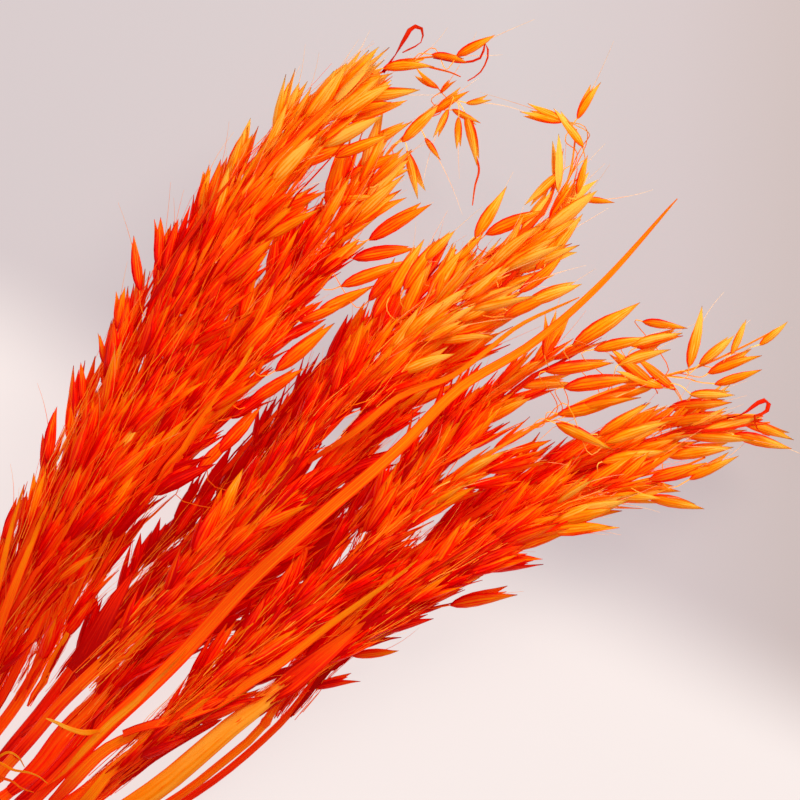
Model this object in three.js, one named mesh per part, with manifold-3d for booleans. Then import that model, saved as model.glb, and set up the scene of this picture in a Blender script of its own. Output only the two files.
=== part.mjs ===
// A tied bundle of dyed, dried oats, lying on a surface.
//
// Lengths are in mm and angles in degrees. +X runs from the cut ends to the heads, +Y is to the left
// of that, and +Z is up. While the stems are laid out, X = 0 and Y = 0 are the middle of the tie. At the
// end everything moves so that the origin is under the middle of the bundle.

import * as THREE from "three";
import { mergeVertices } from "three/addons/utils/BufferGeometryUtils.js";
import Module from "manifold-3d";

const wasm = await Module();
wasm.setup();
const { Manifold, Mesh } = wasm;

// The bundle
const TAIL_SPREAD = 1.5;
const LINE_SAMPLES = 30;
const STEM_PITCH = 5.8;
const STRAIGHT_THROUGH_TIE = 15;
const LIFT_LENGTH = 155;
const NOD_START = 340;
const NOD_DROP = 8;
const NOD_LENGTH = 100;

// Height of a stem's middle line in the tie and at its cut end
const LAYERS = {
  low: { slot: 4.6, tail: 2.4 },
  middle: { slot: 10, tail: 9.6 },
  top: { slot: 15.4, tail: 17 },
};

// The stem
const CULM_RADIUS = 2.4;
const KNEE_RISE = 0.7;
const KNEE_HALF_LENGTH = 5;
const SHEATH = { halfWidth: 4, halfHeight: 2.8 };
const SHEATH_LENGTH = 44;
const SHEATH_END = 8;
const SHEATH_STEP = 24;
const SWELL_RANGE = [0.25, 0.75];
const STEM_SIDES = 6;
const CORE_SHARE = 0.36;
const CORE_TIP_RADIUS = 0.9;
const BARE_RADIUS = 0.6;
const CORE_STEP = 30;

// The leaf blade, a thin diamond in section
const BLADE_HALF_WIDTH = 3.6;
const BLADE_TIP = 0.6;
const BLADE_FOOT_AT = 0.12;
const BLADE_FULLNESS = 0.7;
const BLADE_HALF_THICKNESS = 0.55;
const BLADE_STEPS = 16;
const BLADE_SIDES = 4;

// The plume
const PLUME = { footShare: 0.45, fullFrom: 0.35, fullTo: 0.68, tipShare: 0.25 };
const SPIKELET_EVERY = 8.6;
const GOLDEN_ANGLE = 137.5;
const AZIMUTH_JITTER = 40;
const ROOT_SPREAD = 0.56;
const ROOT_BACK = 4;
const HEAD_END = 24;
const TIP_CUT = 2;
const OUTER_FROM = 0.7;
const FLATTENING = 0.6;
const TILT_INNER = 6;
const TILT_OUTER = 15;
const LEAN_RANGE = [0.75, 1.25];

// The spikelet: two husks that open like a beak
const SPIKELET_LENGTH = 24;
const SPIKELET_WIDTH = 5;
const SPIKELET_DEPTH = 4.2;
const SCALE_RANGE = [0.95, 1.25];
const GAPE_RANGE = [1.6, 3.9];
const STALK_HALF_WIDTH = 0.7;
const WIDEST_AT = 0.4;
const CROTCH_AT = 0.62;
const SECOND_HUSK = 0.92;
const LOOSE_STALK_BACK = 12;
const LOOSE_LIFT = 2;
const LOOSE_DROOP = -0.1;
const LOOSE_ROLL = 25;
const LOOSE_GAPE = 1.8;

// The tie: a few turns of twine round a block of stems, four wide and three high
const STEMS_WIDE = 4;
const TIE_GAP = 0.3;
const TWINE_TURNS = 4;
const TWINE_PITCH = 2.2;
const TWINE_FLAT = 1.0;
const TWINE_HEIGHT = 1.9;
const TWINE_GROOVE = 1.1;
const CORNER_STEPS = 3;
const KNOT_HALF_SIZE = [3.4, 4.4, 2.4];
const KNOT_LIFT = 1;
const TWINE_END = [[0, 0, 1.4], [-4, 8, 3.2], [-9, 15, 2], [-11, 21, -2]];
const TWINE_END_RADIUS = 0.95;
const TWINE_END_SIDES = 5;

// Points closer than this are one point
const SAME_PLACE = 1e-4;

// Shares of a length at its two ends and between
const QUARTERS = [0, 0.25, 0.5, 0.75, 1];

// Stems keep this far apart, so a spikelet that would touch another stem is drawn in by these shares
const CLEARANCE = 0.3;
const SPREADS = [1, 0.8, 0.6, 0.4];

// One entry a stem. "lane" is the height its head lies at, "cut" is where it was cut off, "way" is the
// middle line seen from above, past the tie, and "loose" lists the spikelets that hang away from a
// head: where each starts, which way it points and how large it is. "bareTip" is the length of stalk
// past the last spikelets of the head, "tipShare" how full the head still is there, "sheath" the leaf
// foot wrapped round the stem below the head, and "blade" the middle line of a long leaf.
const STEMS = [
  {
    name: "oat_stem_01", layer: "top", column: 3, lane: 50, cut: -166, seed: 101,
    halfWidth: 27, bareTip: 50, tipShare: 0.6, plumeFrom: 92, knees: [-118, 62],
    way: [[90, 36], [133, 53], [168, 63.5], [195, 73], [252, 91], [297, 103], [336, 109], [366, 110],
      [386, 107], [403, 99], [412, 91]],
    loose: [[385, 108, -30, 0.85], [403, 99, -45, 0.63], [410, 92, -15, 0.77], [365, 112, -16, 0.97],
      [369, 107, -39, 1.13], [362, 105, -27, 0.79], [358, 117, -8, 1.09], [334, 102, -13, 0.99],
      [347, 95, -17, 0.98], [181, 84, 47, 0.94], [207, 92, 48, 0.71], [224, 98, 53, 0.52],
      [237, 104, 42, 0.72], [254, 109, 56, 0.97], [265, 110, 44, 0.93], [293, 116, 38, 0.74],
      [147, 74, 30, 0.83]],
  },
  {
    name: "oat_stem_02", layer: "top", column: 2, lane: 46, cut: -163, seed: 202,
    halfWidth: 17, plumeFrom: 148, knees: [-96, 74],
    way: [[90, 8], [120, 11], [150, 11], [212, 13], [311, 23], [373, 18], [402, 21], [418, 32],
      [427, 39]],
    loose: [[424, 44, 123, 0.75], [425, 44, 116, 0.71], [423, 31, 82, 0.81], [429, 41, 20, 0.74],
      [409, 30, -180, 0.82], [408, 19, 32, 0.69], [408, 16, -43, 0.55], [380, 8, 10, 1.04],
      [375, 8, 13, 0.92], [371, 18, -2, 0.97], [370, 32, -17, 1.07], [366, 34, 15, 1.02],
      [354, 32, 4, 0.66], [361, 24, -26, 0.89], [362, 1, -20, 1.07], [345, 41, 3, 0.76],
      [337, 26, 29, 1.03], [331, 38, 18, 1.1], [325, 40, 17, 1.12], [314, 38, 17, 1], [284, 30, 18, 1.04],
      [364, 6, -8, 0.98], [353, 3, -15, 1.07]],
    sheath: { from: 96, halfWidth: 2.4, halfHeight: 2.4 },
  },
  {
    name: "oat_stem_03", layer: "top", column: 1, lane: 48, cut: -168, seed: 303,
    halfWidth: 16, bareTip: 78, plumeFrom: 112, knees: [-131, 68],
    way: [[90, -22.5], [130, -24], [191, -26], [242, -27], [293, -30], [361, -46], [397, -65],
      [432, -76]],
    loose: [[365, -24, -10, 1.37], [392, -36, -50, 0.79], [383, -42, -22, 0.85], [393, -62, 32, 1.07],
      [397, -64, -6, 0.79], [409, -70, 22, 0.66], [420, -75, -6, 0.63], [397, -69, -19, 0.97],
      [396, -74, -26, 0.84], [386, -70, -44, 0.78], [378, -58, 98, 1.04], [383, -65, 98, 0.93],
      [380, -61, 117, 0.87], [351, -34, -32, 1.27], [350, -24, -34, 1.16], [339, -42, -67, 1.09],
      [342, -40, -32, 1.19], [348, -57, -12, 1.03], [348, -61, -23, 1.18], [382, -40, -27, 0.9],
      [354, -19, 33, 0.77], [370, -31, -29, 0.99], [373, -42, -22, 0.93]],
    blade: [[48, -11, 19.5], [66, -11.5, 25], [86, -10.3, 31], [110, -9.3, 38], [128, -8.6, 41],
      [151, -8.6, 43], [168, -8, 45], [204, -5, 52], [244, -5, 61], [287, -6.5, 63], [320, -5.5, 64],
      [352, -12, 63], [387, -13.5, 61], [434, -9.5, 58]],
  },
  {
    name: "oat_stem_04", layer: "top", column: 0, lane: 44, cut: -162, seed: 404,
    halfWidth: 13, plumeFrom: 192, knees: [-108, 38],
    way: [[90, -35.5], [110, -39.5], [131, -41.8], [159, -42.5], [183, -45], [243, -51.5], [293, -61.5],
      [326, -71], [354, -86], [376, -97]],
    loose: [[342, -66, -33, 1.16], [346, -89, -54, 0.96]],
    sheath: { from: 60, halfWidth: 4.3, halfHeight: 2.2 },
  },
  {
    name: "oat_stem_05", layer: "middle", column: 3, lane: 31, cut: -167, seed: 505,
    halfWidth: 19, bareTip: 46, tipShare: 0.5, plumeFrom: 120, knees: [-124, 58],
    way: [[90, 21.5], [106, 24.3], [118, 28.2], [134, 34.5], [166, 47], [195, 56], [240, 62], [297, 72],
      [338, 79], [368, 84], [385, 84], [398, 81]],
    loose: [[398, 89, 109, 0.54], [397, 87, 10, 0.34], [389, 83, -3, 0.75], [372, 83, 5, 0.99],
      [402, 77, -41, 0.44], [395, 80, -160, 0.57], [396, 79, -68, 0.56], [396, 75, -135, 0.57],
      [399, 74, -118, 0.91], [380, 78, -99, 0.49], [371, 79, -118, 0.84], [354, 77, -11, 0.61],
      [333, 86, -36, 0.95], [338, 81, -140, 0.94], [335, 63, -10, 1.27], [325, 62, -30, 1.13],
      [314, 57, -20, 1.27], [300, 56, -20, 1.1], [297, 64, 1, 1.22], [292, 58, -23, 0.97],
      [318, 45, 8, 0.96], [274, 62, -3, 1.17], [271, 50, -3, 1.32], [345, 88, -17, 1.07],
      [356, 93, -16, 1.06], [245, 48, -6, 1.12], [254, 48, -9, 1.14]],
    sheath: { from: 76, halfWidth: 2.2, halfHeight: 2.2 },
  },
  {
    name: "oat_stem_06", layer: "middle", column: 2, lane: 30, cut: -164, seed: 606,
    halfWidth: 13, plumeFrom: 126, knees: [-102, 66],
    way: [[90, -2], [105, 0.5], [122, 1], [138, 2.5], [160, 4], [210, 5], [290, 8], [340, 8], [376, 4]],
    loose: [[220, 42, 2, 1.05], [230, 42, 2, 1.17]],
  },
  {
    name: "oat_stem_07", layer: "middle", column: 1, lane: 33, cut: -169, seed: 707,
    halfWidth: 14, plumeFrom: 122, knees: [-136, 54],
    way: [[90, -25], [140, -27], [200, -28], [270, -23], [317, -17], [360, -24], [384, -30]],
    loose: [],
  },
  {
    name: "oat_stem_08", layer: "middle", column: 0, lane: 28, cut: -165, seed: 808,
    halfWidth: 14, bareTip: 28, plumeFrom: 192, knees: [-92, 60, 170],
    way: [[66, -30], [100, -44.5], [126, -50.3], [153, -52], [172, -52], [190, -46.5], [214, -42.5],
      [262, -45.5], [314, -54], [354, -71], [380, -84], [408, -106]],
    loose: [[396, -95, -58, 0.93], [390, -96, -56, 1.03], [378, -70, -38, 1.11], [367, -69, -34, 0.89],
      [364, -97, -16, 0.95], [341, -80, -41, 1.05], [364, -84, -34, 1.2], [258, -68, -30, 1.18],
      [374, -75, -32, 1.1], [380, -86, -29, 1.12]],
    culmRadius: 1.5,
    sheath: { from: 84, halfWidth: 1.5, halfHeight: 1.5 },
  },
  {
    name: "oat_stem_09", layer: "low", column: 3, lane: 10, cut: -162, seed: 909,
    halfWidth: 17, plumeFrom: 100, knees: [-112, 64],
    way: [[90, 34], [133, 49], [180, 65], [240, 83], [292, 96]],
    loose: [],
  },
  {
    name: "oat_stem_10", layer: "low", column: 2, lane: 11.5, cut: -166, seed: 1010,
    halfWidth: 16, plumeFrom: 128, knees: [-128, 56],
    way: [[88, 12], [103, 13.6], [116, 15.8], [127, 17.8], [143, 20.5], [165, 24], [200, 25], [300, 32],
      [364, 37]],
    loose: [],
    sheath: { from: 84, halfWidth: 3, halfHeight: 2.4 },
  },
  {
    name: "oat_stem_11", layer: "low", column: 1, lane: 11, cut: -163, seed: 1111,
    halfWidth: 15, plumeFrom: 118, knees: [-98, 62],
    way: [[90, -9], [140, -2], [200, -8], [322, -24]],
    loose: [],
  },
  {
    name: "oat_stem_12", layer: "low", column: 0, lane: 10, cut: -168, seed: 1212,
    halfWidth: 11, plumeFrom: 196, knees: [-120, 50],
    way: [[66, -31], [100, -48], [133, -55.8], [175, -57.2], [210, -52.5], [262, -54], [326, -62]],
    loose: [[213, -57, -36, 0.82], [192, -56, -25, 0.82]],
    culmRadius: 1.3,
    sheath: { from: 84, halfWidth: 1.3, halfHeight: 1.3 },
  },
];

// Openings among the heads where the surface shows through: the middle of each seen from above, its half
// length and half width, and which way it runs. No spikelet of a head crosses one.
const OPENINGS = [
  [277, 16, 4.5, 1.5, -10], [258, 12, 7.5, 1.8, 5], [301, -28, 7.5, 2, 0], [282, -38, 7.5, 2, -6],
  [260, -23, 4, 1.2, 2], [246, -23, 7.5, 1.8, -22], [228, -18, 4.5, 1.2, -15],
  [306, -40, 4, 1.2, -16], [329, -39, 8, 2, -19], [148, -13, 22, 1.6, 0], [127, 12.8, 10, 1, 3],
  [115, 7.6, 8, 1, -7], [343, -36, 9, 2, -24],
];
const OPENING_MARGIN = 1;

const UP = new THREE.Vector3(0, 0, 1);
const radians = THREE.MathUtils.degToRad;
const lerp = THREE.MathUtils.lerp;

function ease(t) {
  const c = Math.min(1, Math.max(0, t));
  return c * c * (3 - 2 * c);
}

// A seeded row of numbers from 0 to 1
function numbers(seed) {
  let state = seed;
  return () => {
    state = (state * 16807) % 2147483647;
    return state / 2147483647;
  };
}

// Closed body from any geometry, with points that share a place joined
function body(geometry) {
  const bare = new THREE.BufferGeometry();
  bare.setAttribute("position", geometry.getAttribute("position"));
  bare.setIndex(geometry.getIndex());
  const joined = mergeVertices(bare, SAME_PLACE);
  return new Manifold(new Mesh({
    numProp: 3,
    vertProperties: new Float32Array(joined.getAttribute("position").array),
    triVerts: new Uint32Array(joined.getIndex().array),
  }));
}

// Direction, side and top at a share of a line's length
function frameAt(line, share) {
  const along = line.getTangentAt(share);
  const side = new THREE.Vector3().crossVectors(UP, along).normalize();
  const top = new THREE.Vector3().crossVectors(along, side);
  return { at: line.getPointAt(share), along, side, top };
}

// A closed tube along a line. Each station is a place on the line and two half widths there.
function tube(line, stations, sides) {
  const steps = stations.length - 1;
  const shape = new THREE.CylinderGeometry(1, 1, 1, sides, steps);
  const points = shape.getAttribute("position");
  const length = line.getLength();
  for (let i = 0; i < points.count; i += 1) {
    const station = stations[Math.round((points.getY(i) + 0.5) * steps)];
    const { at, side, top } = frameAt(line, station.place / length);
    at.addScaledVector(side, points.getX(i) * station.halfWidth);
    at.addScaledVector(top, -points.getZ(i) * station.halfHeight);
    points.setXYZ(i, at.x, at.y, at.z);
  }
  return body(shape);
}

// Height of a stem's middle line above a point this far past the tie
function heightAt(stem, x) {
  const layer = LAYERS[stem.layer];
  const lift = (stem.lane - layer.slot) * ease((x - STRAIGHT_THROUGH_TIE) / LIFT_LENGTH);
  const settle = (layer.tail - layer.slot) * ease((-x - STRAIGHT_THROUGH_TIE) / LIFT_LENGTH);
  const nod = NOD_DROP * (Math.max(0, x - NOD_START) / NOD_LENGTH) ** 2;
  return layer.slot + lift + settle - nod;
}

// Middle line of a whole stem, from its cut end to the tip of its head
function stemLine(stem) {
  const y = (stem.column - (STEMS_WIDE - 1) / 2) * STEM_PITCH;
  const plan = new THREE.CatmullRomCurve3([
    new THREE.Vector3(stem.cut, y * TAIL_SPREAD, 0),
    new THREE.Vector3(-STRAIGHT_THROUGH_TIE, y, 0),
    new THREE.Vector3(STRAIGHT_THROUGH_TIE, y, 0),
    ...stem.way.map(([px, py]) => new THREE.Vector3(px, py, 0)),
  ]);
  const points = [];
  for (let i = 0; i <= LINE_SAMPLES; i += 1) {
    const point = plan.getPointAt(i / LINE_SAMPLES);
    point.z = heightAt(stem, point.x);
    points.push(point);
  }
  return new THREE.CatmullRomCurve3(points);
}

// Length of line up to where it first passes x
function placeOf(line, x) {
  const length = line.getLength();
  let place = 0;
  while (place < length && line.getPointAt(place / length).x < x) {
    place += 1;
  }
  return Math.min(place, length);
}

// How full a head is, from 0 to 1, at a share of its length
function fullness(stem, t) {
  const { footShare, fullFrom, fullTo } = PLUME;
  const tipShare = stem.tipShare ?? PLUME.tipShare;
  return lerp(footShare, 1, ease(t / fullFrom)) * lerp(1, tipShare, ease((t - fullTo) / (1 - fullTo)));
}

// Rings of a stem below its head: the cut end, the knees, the way through the tie, and the sheath,
// which is widest half way along
function culmStations(stem, line) {
  const culm = stem.culmRadius ?? CULM_RADIUS;
  const sheath = stem.sheath ?? { from: stem.plumeFrom - SHEATH_LENGTH, ...SHEATH };
  const round = (place, radius) => ({ place, halfWidth: radius, halfHeight: radius });
  const stations = [round(0, culm)];
  for (const x of stem.knees) {
    const knee = placeOf(line, x);
    stations.push(round(knee - KNEE_HALF_LENGTH, culm));
    stations.push(round(knee, culm + KNEE_RISE));
    stations.push(round(knee + KNEE_HALF_LENGTH, culm));
  }
  for (const x of [stem.cut / 3, -STRAIGHT_THROUGH_TIE, STRAIGHT_THROUGH_TIE]) {
    stations.push(round(placeOf(line, x), culm));
  }
  const to = stem.plumeFrom - SHEATH_END;
  const steps = Math.ceil((to - sheath.from) / SHEATH_STEP);
  for (let step = 0; step <= steps; step += 1) {
    const swell = Math.sin(Math.PI * lerp(...SWELL_RANGE, step / steps));
    stations.push({
      place: placeOf(line, lerp(sheath.from, to, step / steps)),
      halfWidth: lerp(culm, sheath.halfWidth, swell),
      halfHeight: lerp(culm, sheath.halfHeight, swell),
    });
  }
  return stations;
}

// Rings of the slim core of a head, and of the bare stalk past it
function coreStations(stem, plume) {
  const steps = Math.round((plume.to - plume.from) / CORE_STEP);
  const stations = [];
  for (let step = 0; step <= steps; step += 1) {
    const t = step / steps;
    const full = t < 1 ? CORE_SHARE * stem.halfWidth * fullness(stem, t) : CORE_TIP_RADIUS;
    stations.push({
      place: lerp(plume.from, plume.to, t),
      halfWidth: full,
      halfHeight: Math.max(CORE_TIP_RADIUS, full * FLATTENING),
    });
  }
  for (let place = plume.to + CORE_STEP; place < plume.end; place += CORE_STEP) {
    stations.push({ place, halfWidth: BARE_RADIUS, halfHeight: BARE_RADIUS });
  }
  if (plume.end > plume.to) {
    stations.push({ place: plume.end, halfWidth: BARE_RADIUS, halfHeight: BARE_RADIUS });
  }
  return stations;
}

// The whole stem without its spikelets, as one tube
function stalk(stem, line, plume) {
  const stations = [...culmStations(stem, line), ...coreStations(stem, plume)];
  stations.sort((a, b) => a.place - b.place);
  return tube(line, stations, STEM_SIDES);
}

// A spikelet: four-sided from its root inside the stem to its widest place, then two husks. One that
// hangs loose has a thin stalk as well, from the root to the foot.
function spikelet(root, foot, along, roll, scale, gape, stalked) {
  const across = new THREE.Vector3().crossVectors(along, UP).normalize().applyAxisAngle(along, roll);
  const open = new THREE.Vector3().crossVectors(along, across);
  const length = SPIKELET_LENGTH * scale;
  const ring = (distance, halfWidth, halfDepth) => {
    const middle = foot.clone().addScaledVector(along, distance);
    return [
      middle.clone().addScaledVector(across, halfWidth),
      middle.clone().addScaledVector(open, -halfDepth),
      middle.clone().addScaledVector(across, -halfWidth),
      middle.clone().addScaledVector(open, halfDepth),
    ];
  };
  const widest = ring(WIDEST_AT * length, (SPIKELET_WIDTH * scale) / 2, (SPIKELET_DEPTH * scale) / 2);
  const crotch = foot.clone().addScaledVector(along, CROTCH_AT * length);
  const tipOne = foot.clone().addScaledVector(along, length).addScaledVector(open, -gape);
  const tipTwo = foot.clone().addScaledVector(along, SECOND_HUSK * length).addScaledVector(open, gape);
  const points = [root, crotch, tipOne, tipTwo, ...widest];
  const faces = [4, 2, 5, 5, 2, 6, 6, 2, 1, 1, 2, 4, 6, 3, 7, 7, 3, 4, 4, 3, 1, 1, 3, 6];
  if (stalked) {
    points.push(...ring(0, STALK_HALF_WIDTH, STALK_HALF_WIDTH));
  }
  for (let i = 0; i < 4; i += 1) {
    const next = (i + 1) % 4;
    if (stalked) {
      faces.push(0, 8 + i, 8 + next, 8 + i, 4 + i, 4 + next, 8 + i, 4 + next, 8 + next);
    } else {
      faces.push(0, 4 + i, 4 + next);
    }
  }
  const geometry = new THREE.BufferGeometry().setFromPoints(points);
  geometry.setIndex(faces);
  return body(geometry);
}

// The spikelets of a head in turn, from its foot to its tip, each a golden angle on from the last
function headPlan(stem, plume) {
  const draw = numbers(stem.seed);
  const count = Math.round((plume.to - plume.from) / SPIKELET_EVERY);
  const list = [];
  for (let i = 0; i < count; i += 1) {
    const [jitter, depth, size, roll, gape, lean] = [draw(), draw(), draw(), draw(), draw(), draw()];
    const deep = lerp(OUTER_FROM, 1, depth);
    list.push({
      t: (i + 0.5) / count,
      azimuth: radians(i * GOLDEN_ANGLE + (jitter - 0.5) * AZIMUTH_JITTER),
      deep,
      scale: lerp(...SCALE_RANGE, size),
      roll: radians(roll * 180),
      gape: lerp(...GAPE_RANGE, gape),
      tilt: radians((TILT_INNER + TILT_OUTER * deep) * lerp(...LEAN_RANGE, lean)),
    });
  }
  return list;
}

// Root, foot and heading of one spikelet of the list, drawn in towards the core by spread
function seat(stem, line, plume, one, spread) {
  const place = lerp(plume.from, plume.to, one.t);
  const { at, along, side, top } = frameAt(line, place / line.getLength());
  const out = ROOT_SPREAD * stem.halfWidth * fullness(stem, one.t) * one.deep * spread;
  const sideways = Math.cos(one.azimuth);
  const upwards = Math.sin(one.azimuth);
  const foot = at.clone()
    .addScaledVector(side, out * sideways)
    .addScaledVector(top, out * FLATTENING * upwards);
  const tilt = one.tilt * spread;
  const heading = along.clone().multiplyScalar(Math.cos(tilt))
    .addScaledVector(side, Math.sin(tilt) * sideways)
    .addScaledVector(top, Math.sin(tilt) * FLATTENING * upwards)
    .normalize();
  return { root: at.clone().addScaledVector(along, -ROOT_BACK), foot, heading };
}

function placed(stem, line, plume, one, spread) {
  const { root, foot, heading } = seat(stem, line, plume, one, spread);
  return spikelet(root, foot, heading, one.roll, one.scale, one.gape, false);
}

// True if a spikelet lies across one of the openings, as seen from above
function crossesOpening({ foot, heading }, scale) {
  return QUARTERS.some((share) => {
    const probe = foot.clone().addScaledVector(heading, share * scale * SPIKELET_LENGTH);
    return OPENINGS.some(([x, y, halfLength, halfWidth, direction]) => {
      const turn = radians(direction);
      const [dx, dy] = [probe.x - x, probe.y - y];
      const along = (dx * Math.cos(turn) + dy * Math.sin(turn)) / (halfLength + OPENING_MARGIN);
      const across = (dy * Math.cos(turn) - dx * Math.sin(turn)) / (halfWidth + OPENING_MARGIN);
      return along ** 2 + across ** 2 < 1;
    });
  });
}

// A spikelet that hangs away from the head on a longer stalk
function looseSpikelet(stem, line, plume, [x, y, heading, size], spread) {
  const place = placeOf(line, x - LOOSE_STALK_BACK);
  const root = line.getPointAt(Math.min(plume.end, place) / line.getLength());
  const foot = new THREE.Vector3(x, y, heightAt(stem, x) + LOOSE_LIFT);
  foot.lerp(root, 1 - spread);
  const turn = radians(heading);
  const along = new THREE.Vector3(Math.cos(turn), Math.sin(turn), LOOSE_DROOP).normalize();
  return spikelet(root, foot, along, radians(LOOSE_ROLL), size, LOOSE_GAPE, true);
}

// Long thin leaf blade along its own middle line, widest near its foot and pointed at its tip
function leafBlade(points) {
  const line = new THREE.CatmullRomCurve3(points.map((point) => new THREE.Vector3(...point)));
  const stations = [];
  for (let step = 0; step <= BLADE_STEPS; step += 1) {
    const t = step / BLADE_STEPS;
    const full = Math.sin(Math.PI * lerp(BLADE_FOOT_AT, 1, t)) ** BLADE_FULLNESS;
    stations.push({
      place: t * line.getLength(),
      halfWidth: lerp(BLADE_TIP, BLADE_HALF_WIDTH, full),
      halfHeight: BLADE_HALF_THICKNESS,
    });
  }
  return tube(line, stations, BLADE_SIDES);
}

// Four turns of twine as one ring with a ridged outside, wrapped round the block of stems
function twineRing() {
  const half = (TWINE_TURNS * TWINE_PITCH) / 2;
  const profile = [[half, 0], [-half, 0], [-half, TWINE_GROOVE]];
  for (let turn = 0; turn < TWINE_TURNS; turn += 1) {
    const middle = -half + (turn + 0.5) * TWINE_PITCH;
    profile.push([middle - TWINE_FLAT / 2, TWINE_HEIGHT]);
    profile.push([middle + TWINE_FLAT / 2, TWINE_HEIGHT]);
    profile.push([middle + TWINE_PITCH / 2, TWINE_GROOVE]);
  }
  const cornerY = ((STEMS_WIDE - 1) / 2) * STEM_PITCH;
  const { low, top } = LAYERS;
  const corners = [[cornerY, top.slot], [-cornerY, top.slot], [-cornerY, low.slot], [cornerY, low.slot]];
  const perCorner = CORNER_STEPS + 1;
  const rings = corners.length * perCorner;
  const shape = new THREE.TorusGeometry(2, 1, profile.length, rings);
  const points = shape.getAttribute("position");
  for (let i = 0; i < points.count; i += 1) {
    const ring = (i % (rings + 1)) % rings;
    const [x, out] = profile[Math.floor(i / (rings + 1)) % profile.length];
    const corner = Math.floor(ring / perCorner);
    const [y, z] = corners[corner];
    const turn = radians(corner * 90 + ((ring % perCorner) * 90) / CORNER_STEPS);
    const reach = CULM_RADIUS + TIE_GAP + out;
    points.setXYZ(i, x, y + reach * Math.cos(turn), z + reach * Math.sin(turn));
  }
  return body(shape);
}

// The ring, its knot on top and the two trimmed ends, one the mirror of the other
function twineTie() {
  const topOfRing = LAYERS.top.slot + CULM_RADIUS + TIE_GAP + TWINE_HEIGHT;
  const knot = new THREE.IcosahedronGeometry(1, 1);
  knot.scale(...KNOT_HALF_SIZE);
  knot.translate(0, 0, topOfRing + KNOT_LIFT);
  const parts = [twineRing(), body(knot)];
  for (const way of [1, -1]) {
    const line = new THREE.CatmullRomCurve3(
      TWINE_END.map(([x, y, z]) => new THREE.Vector3(x * way, y * way, topOfRing + z)),
    );
    const stations = QUARTERS.map((share) => ({
      place: share * line.getLength(),
      halfWidth: TWINE_END_RADIUS,
      halfHeight: TWINE_END_RADIUS,
    }));
    parts.push(tube(line, stations, TWINE_END_SIDES));
  }
  return Manifold.union(parts);
}

function boxesNear(one, two) {
  const a = one.boundingBox();
  const b = two.boundingBox();
  return [0, 1, 2].every((k) => a.min[k] - CLEARANCE < b.max[k] && b.min[k] - CLEARANCE < a.max[k]);
}

// True if a body keeps clear of everything that the other stems already hold
function keepsClear(candidate, own, all) {
  return all.every((other) => other === own || other.solids.every((solid) => (
    !boxesNear(candidate, solid) || candidate.minGap(solid, CLEARANCE * 2) >= CLEARANCE
  )));
}

// Adds the first version of a piece that keeps clear, or leaves it out
function addIfClear(versions, own, all) {
  for (const make of versions) {
    const candidate = make();
    if (keepsClear(candidate, own, all)) {
      own.solids.push(candidate);
      return;
    }
  }
}

function buildStems() {
  const all = STEMS.map((stem) => {
    const line = stemLine(stem);
    const length = line.getLength();
    const plume = {
      from: placeOf(line, stem.plumeFrom),
      to: length - (stem.bareTip ?? HEAD_END),
      end: length - (stem.bareTip ? TIP_CUT : HEAD_END),
    };
    const grown = { stem, line, plume, solids: [stalk(stem, line, plume)] };
    if (stem.blade) {
      grown.solids.push(leafBlade(stem.blade));
    }
    const spikelets = headPlan(stem, plume).filter((one) => (
      !crossesOpening(seat(stem, line, plume, one, 1), one.scale)
    ));
    return { ...grown, spikelets };
  });
  for (const own of all) {
    for (const loose of own.stem.loose) {
      const versions = SPREADS.map((spread) => () => (
        looseSpikelet(own.stem, own.line, own.plume, loose, spread)
      ));
      addIfClear(versions, own, all);
    }
  }
  const most = Math.max(...all.map((own) => own.spikelets.length));
  for (let i = 0; i < most; i += 1) {
    for (const own of all.filter((grown) => i < grown.spikelets.length)) {
      const versions = SPREADS.map((spread) => () => (
        placed(own.stem, own.line, own.plume, own.spikelets[i], spread)
      ));
      addIfClear(versions, own, all);
    }
  }
  return all;
}

// The largest body of a fused piece, cut level where it would reach below the surface
function settled(solid) {
  const pieces = solid.trimByPlane([0, 0, 1], 0).decompose();
  return pieces.reduce((best, piece) => (piece.volume() > best.volume() ? piece : best));
}

function meshOf(name, solid, material) {
  const { vertProperties, triVerts } = settled(solid).getMesh();
  const geometry = new THREE.BufferGeometry();
  geometry.setAttribute("position", new THREE.BufferAttribute(new Float32Array(vertProperties), 3));
  geometry.setIndex(new THREE.BufferAttribute(new Uint32Array(triVerts), 1));
  geometry.computeVertexNormals();
  const mesh = new THREE.Mesh(geometry, material);
  mesh.name = name;
  return mesh;
}

const dyedOat = new THREE.MeshStandardMaterial({
  name: "dyed_oat", color: 0xe65a14, roughness: 0.7, metalness: 0, flatShading: true,
});
const juteTwine = new THREE.MeshStandardMaterial({
  name: "jute_twine", color: 0xa9835a, roughness: 0.9, metalness: 0, flatShading: true,
});

const group = new THREE.Group();
group.name = "dried_oats_bundle";
for (const grown of buildStems()) {
  group.add(meshOf(grown.stem.name, Manifold.union(grown.solids), dyedOat));
}
group.add(meshOf("twine_tie", twineTie(), juteTwine));

// The origin goes under the middle of the whole bundle, at the height of the surface it lies on.
const middle = new THREE.Box3().setFromObject(group).getCenter(new THREE.Vector3());
for (const mesh of group.children) {
  mesh.geometry.translate(-middle.x, -middle.y, 0);
}

export default group;
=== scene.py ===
import math

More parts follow.
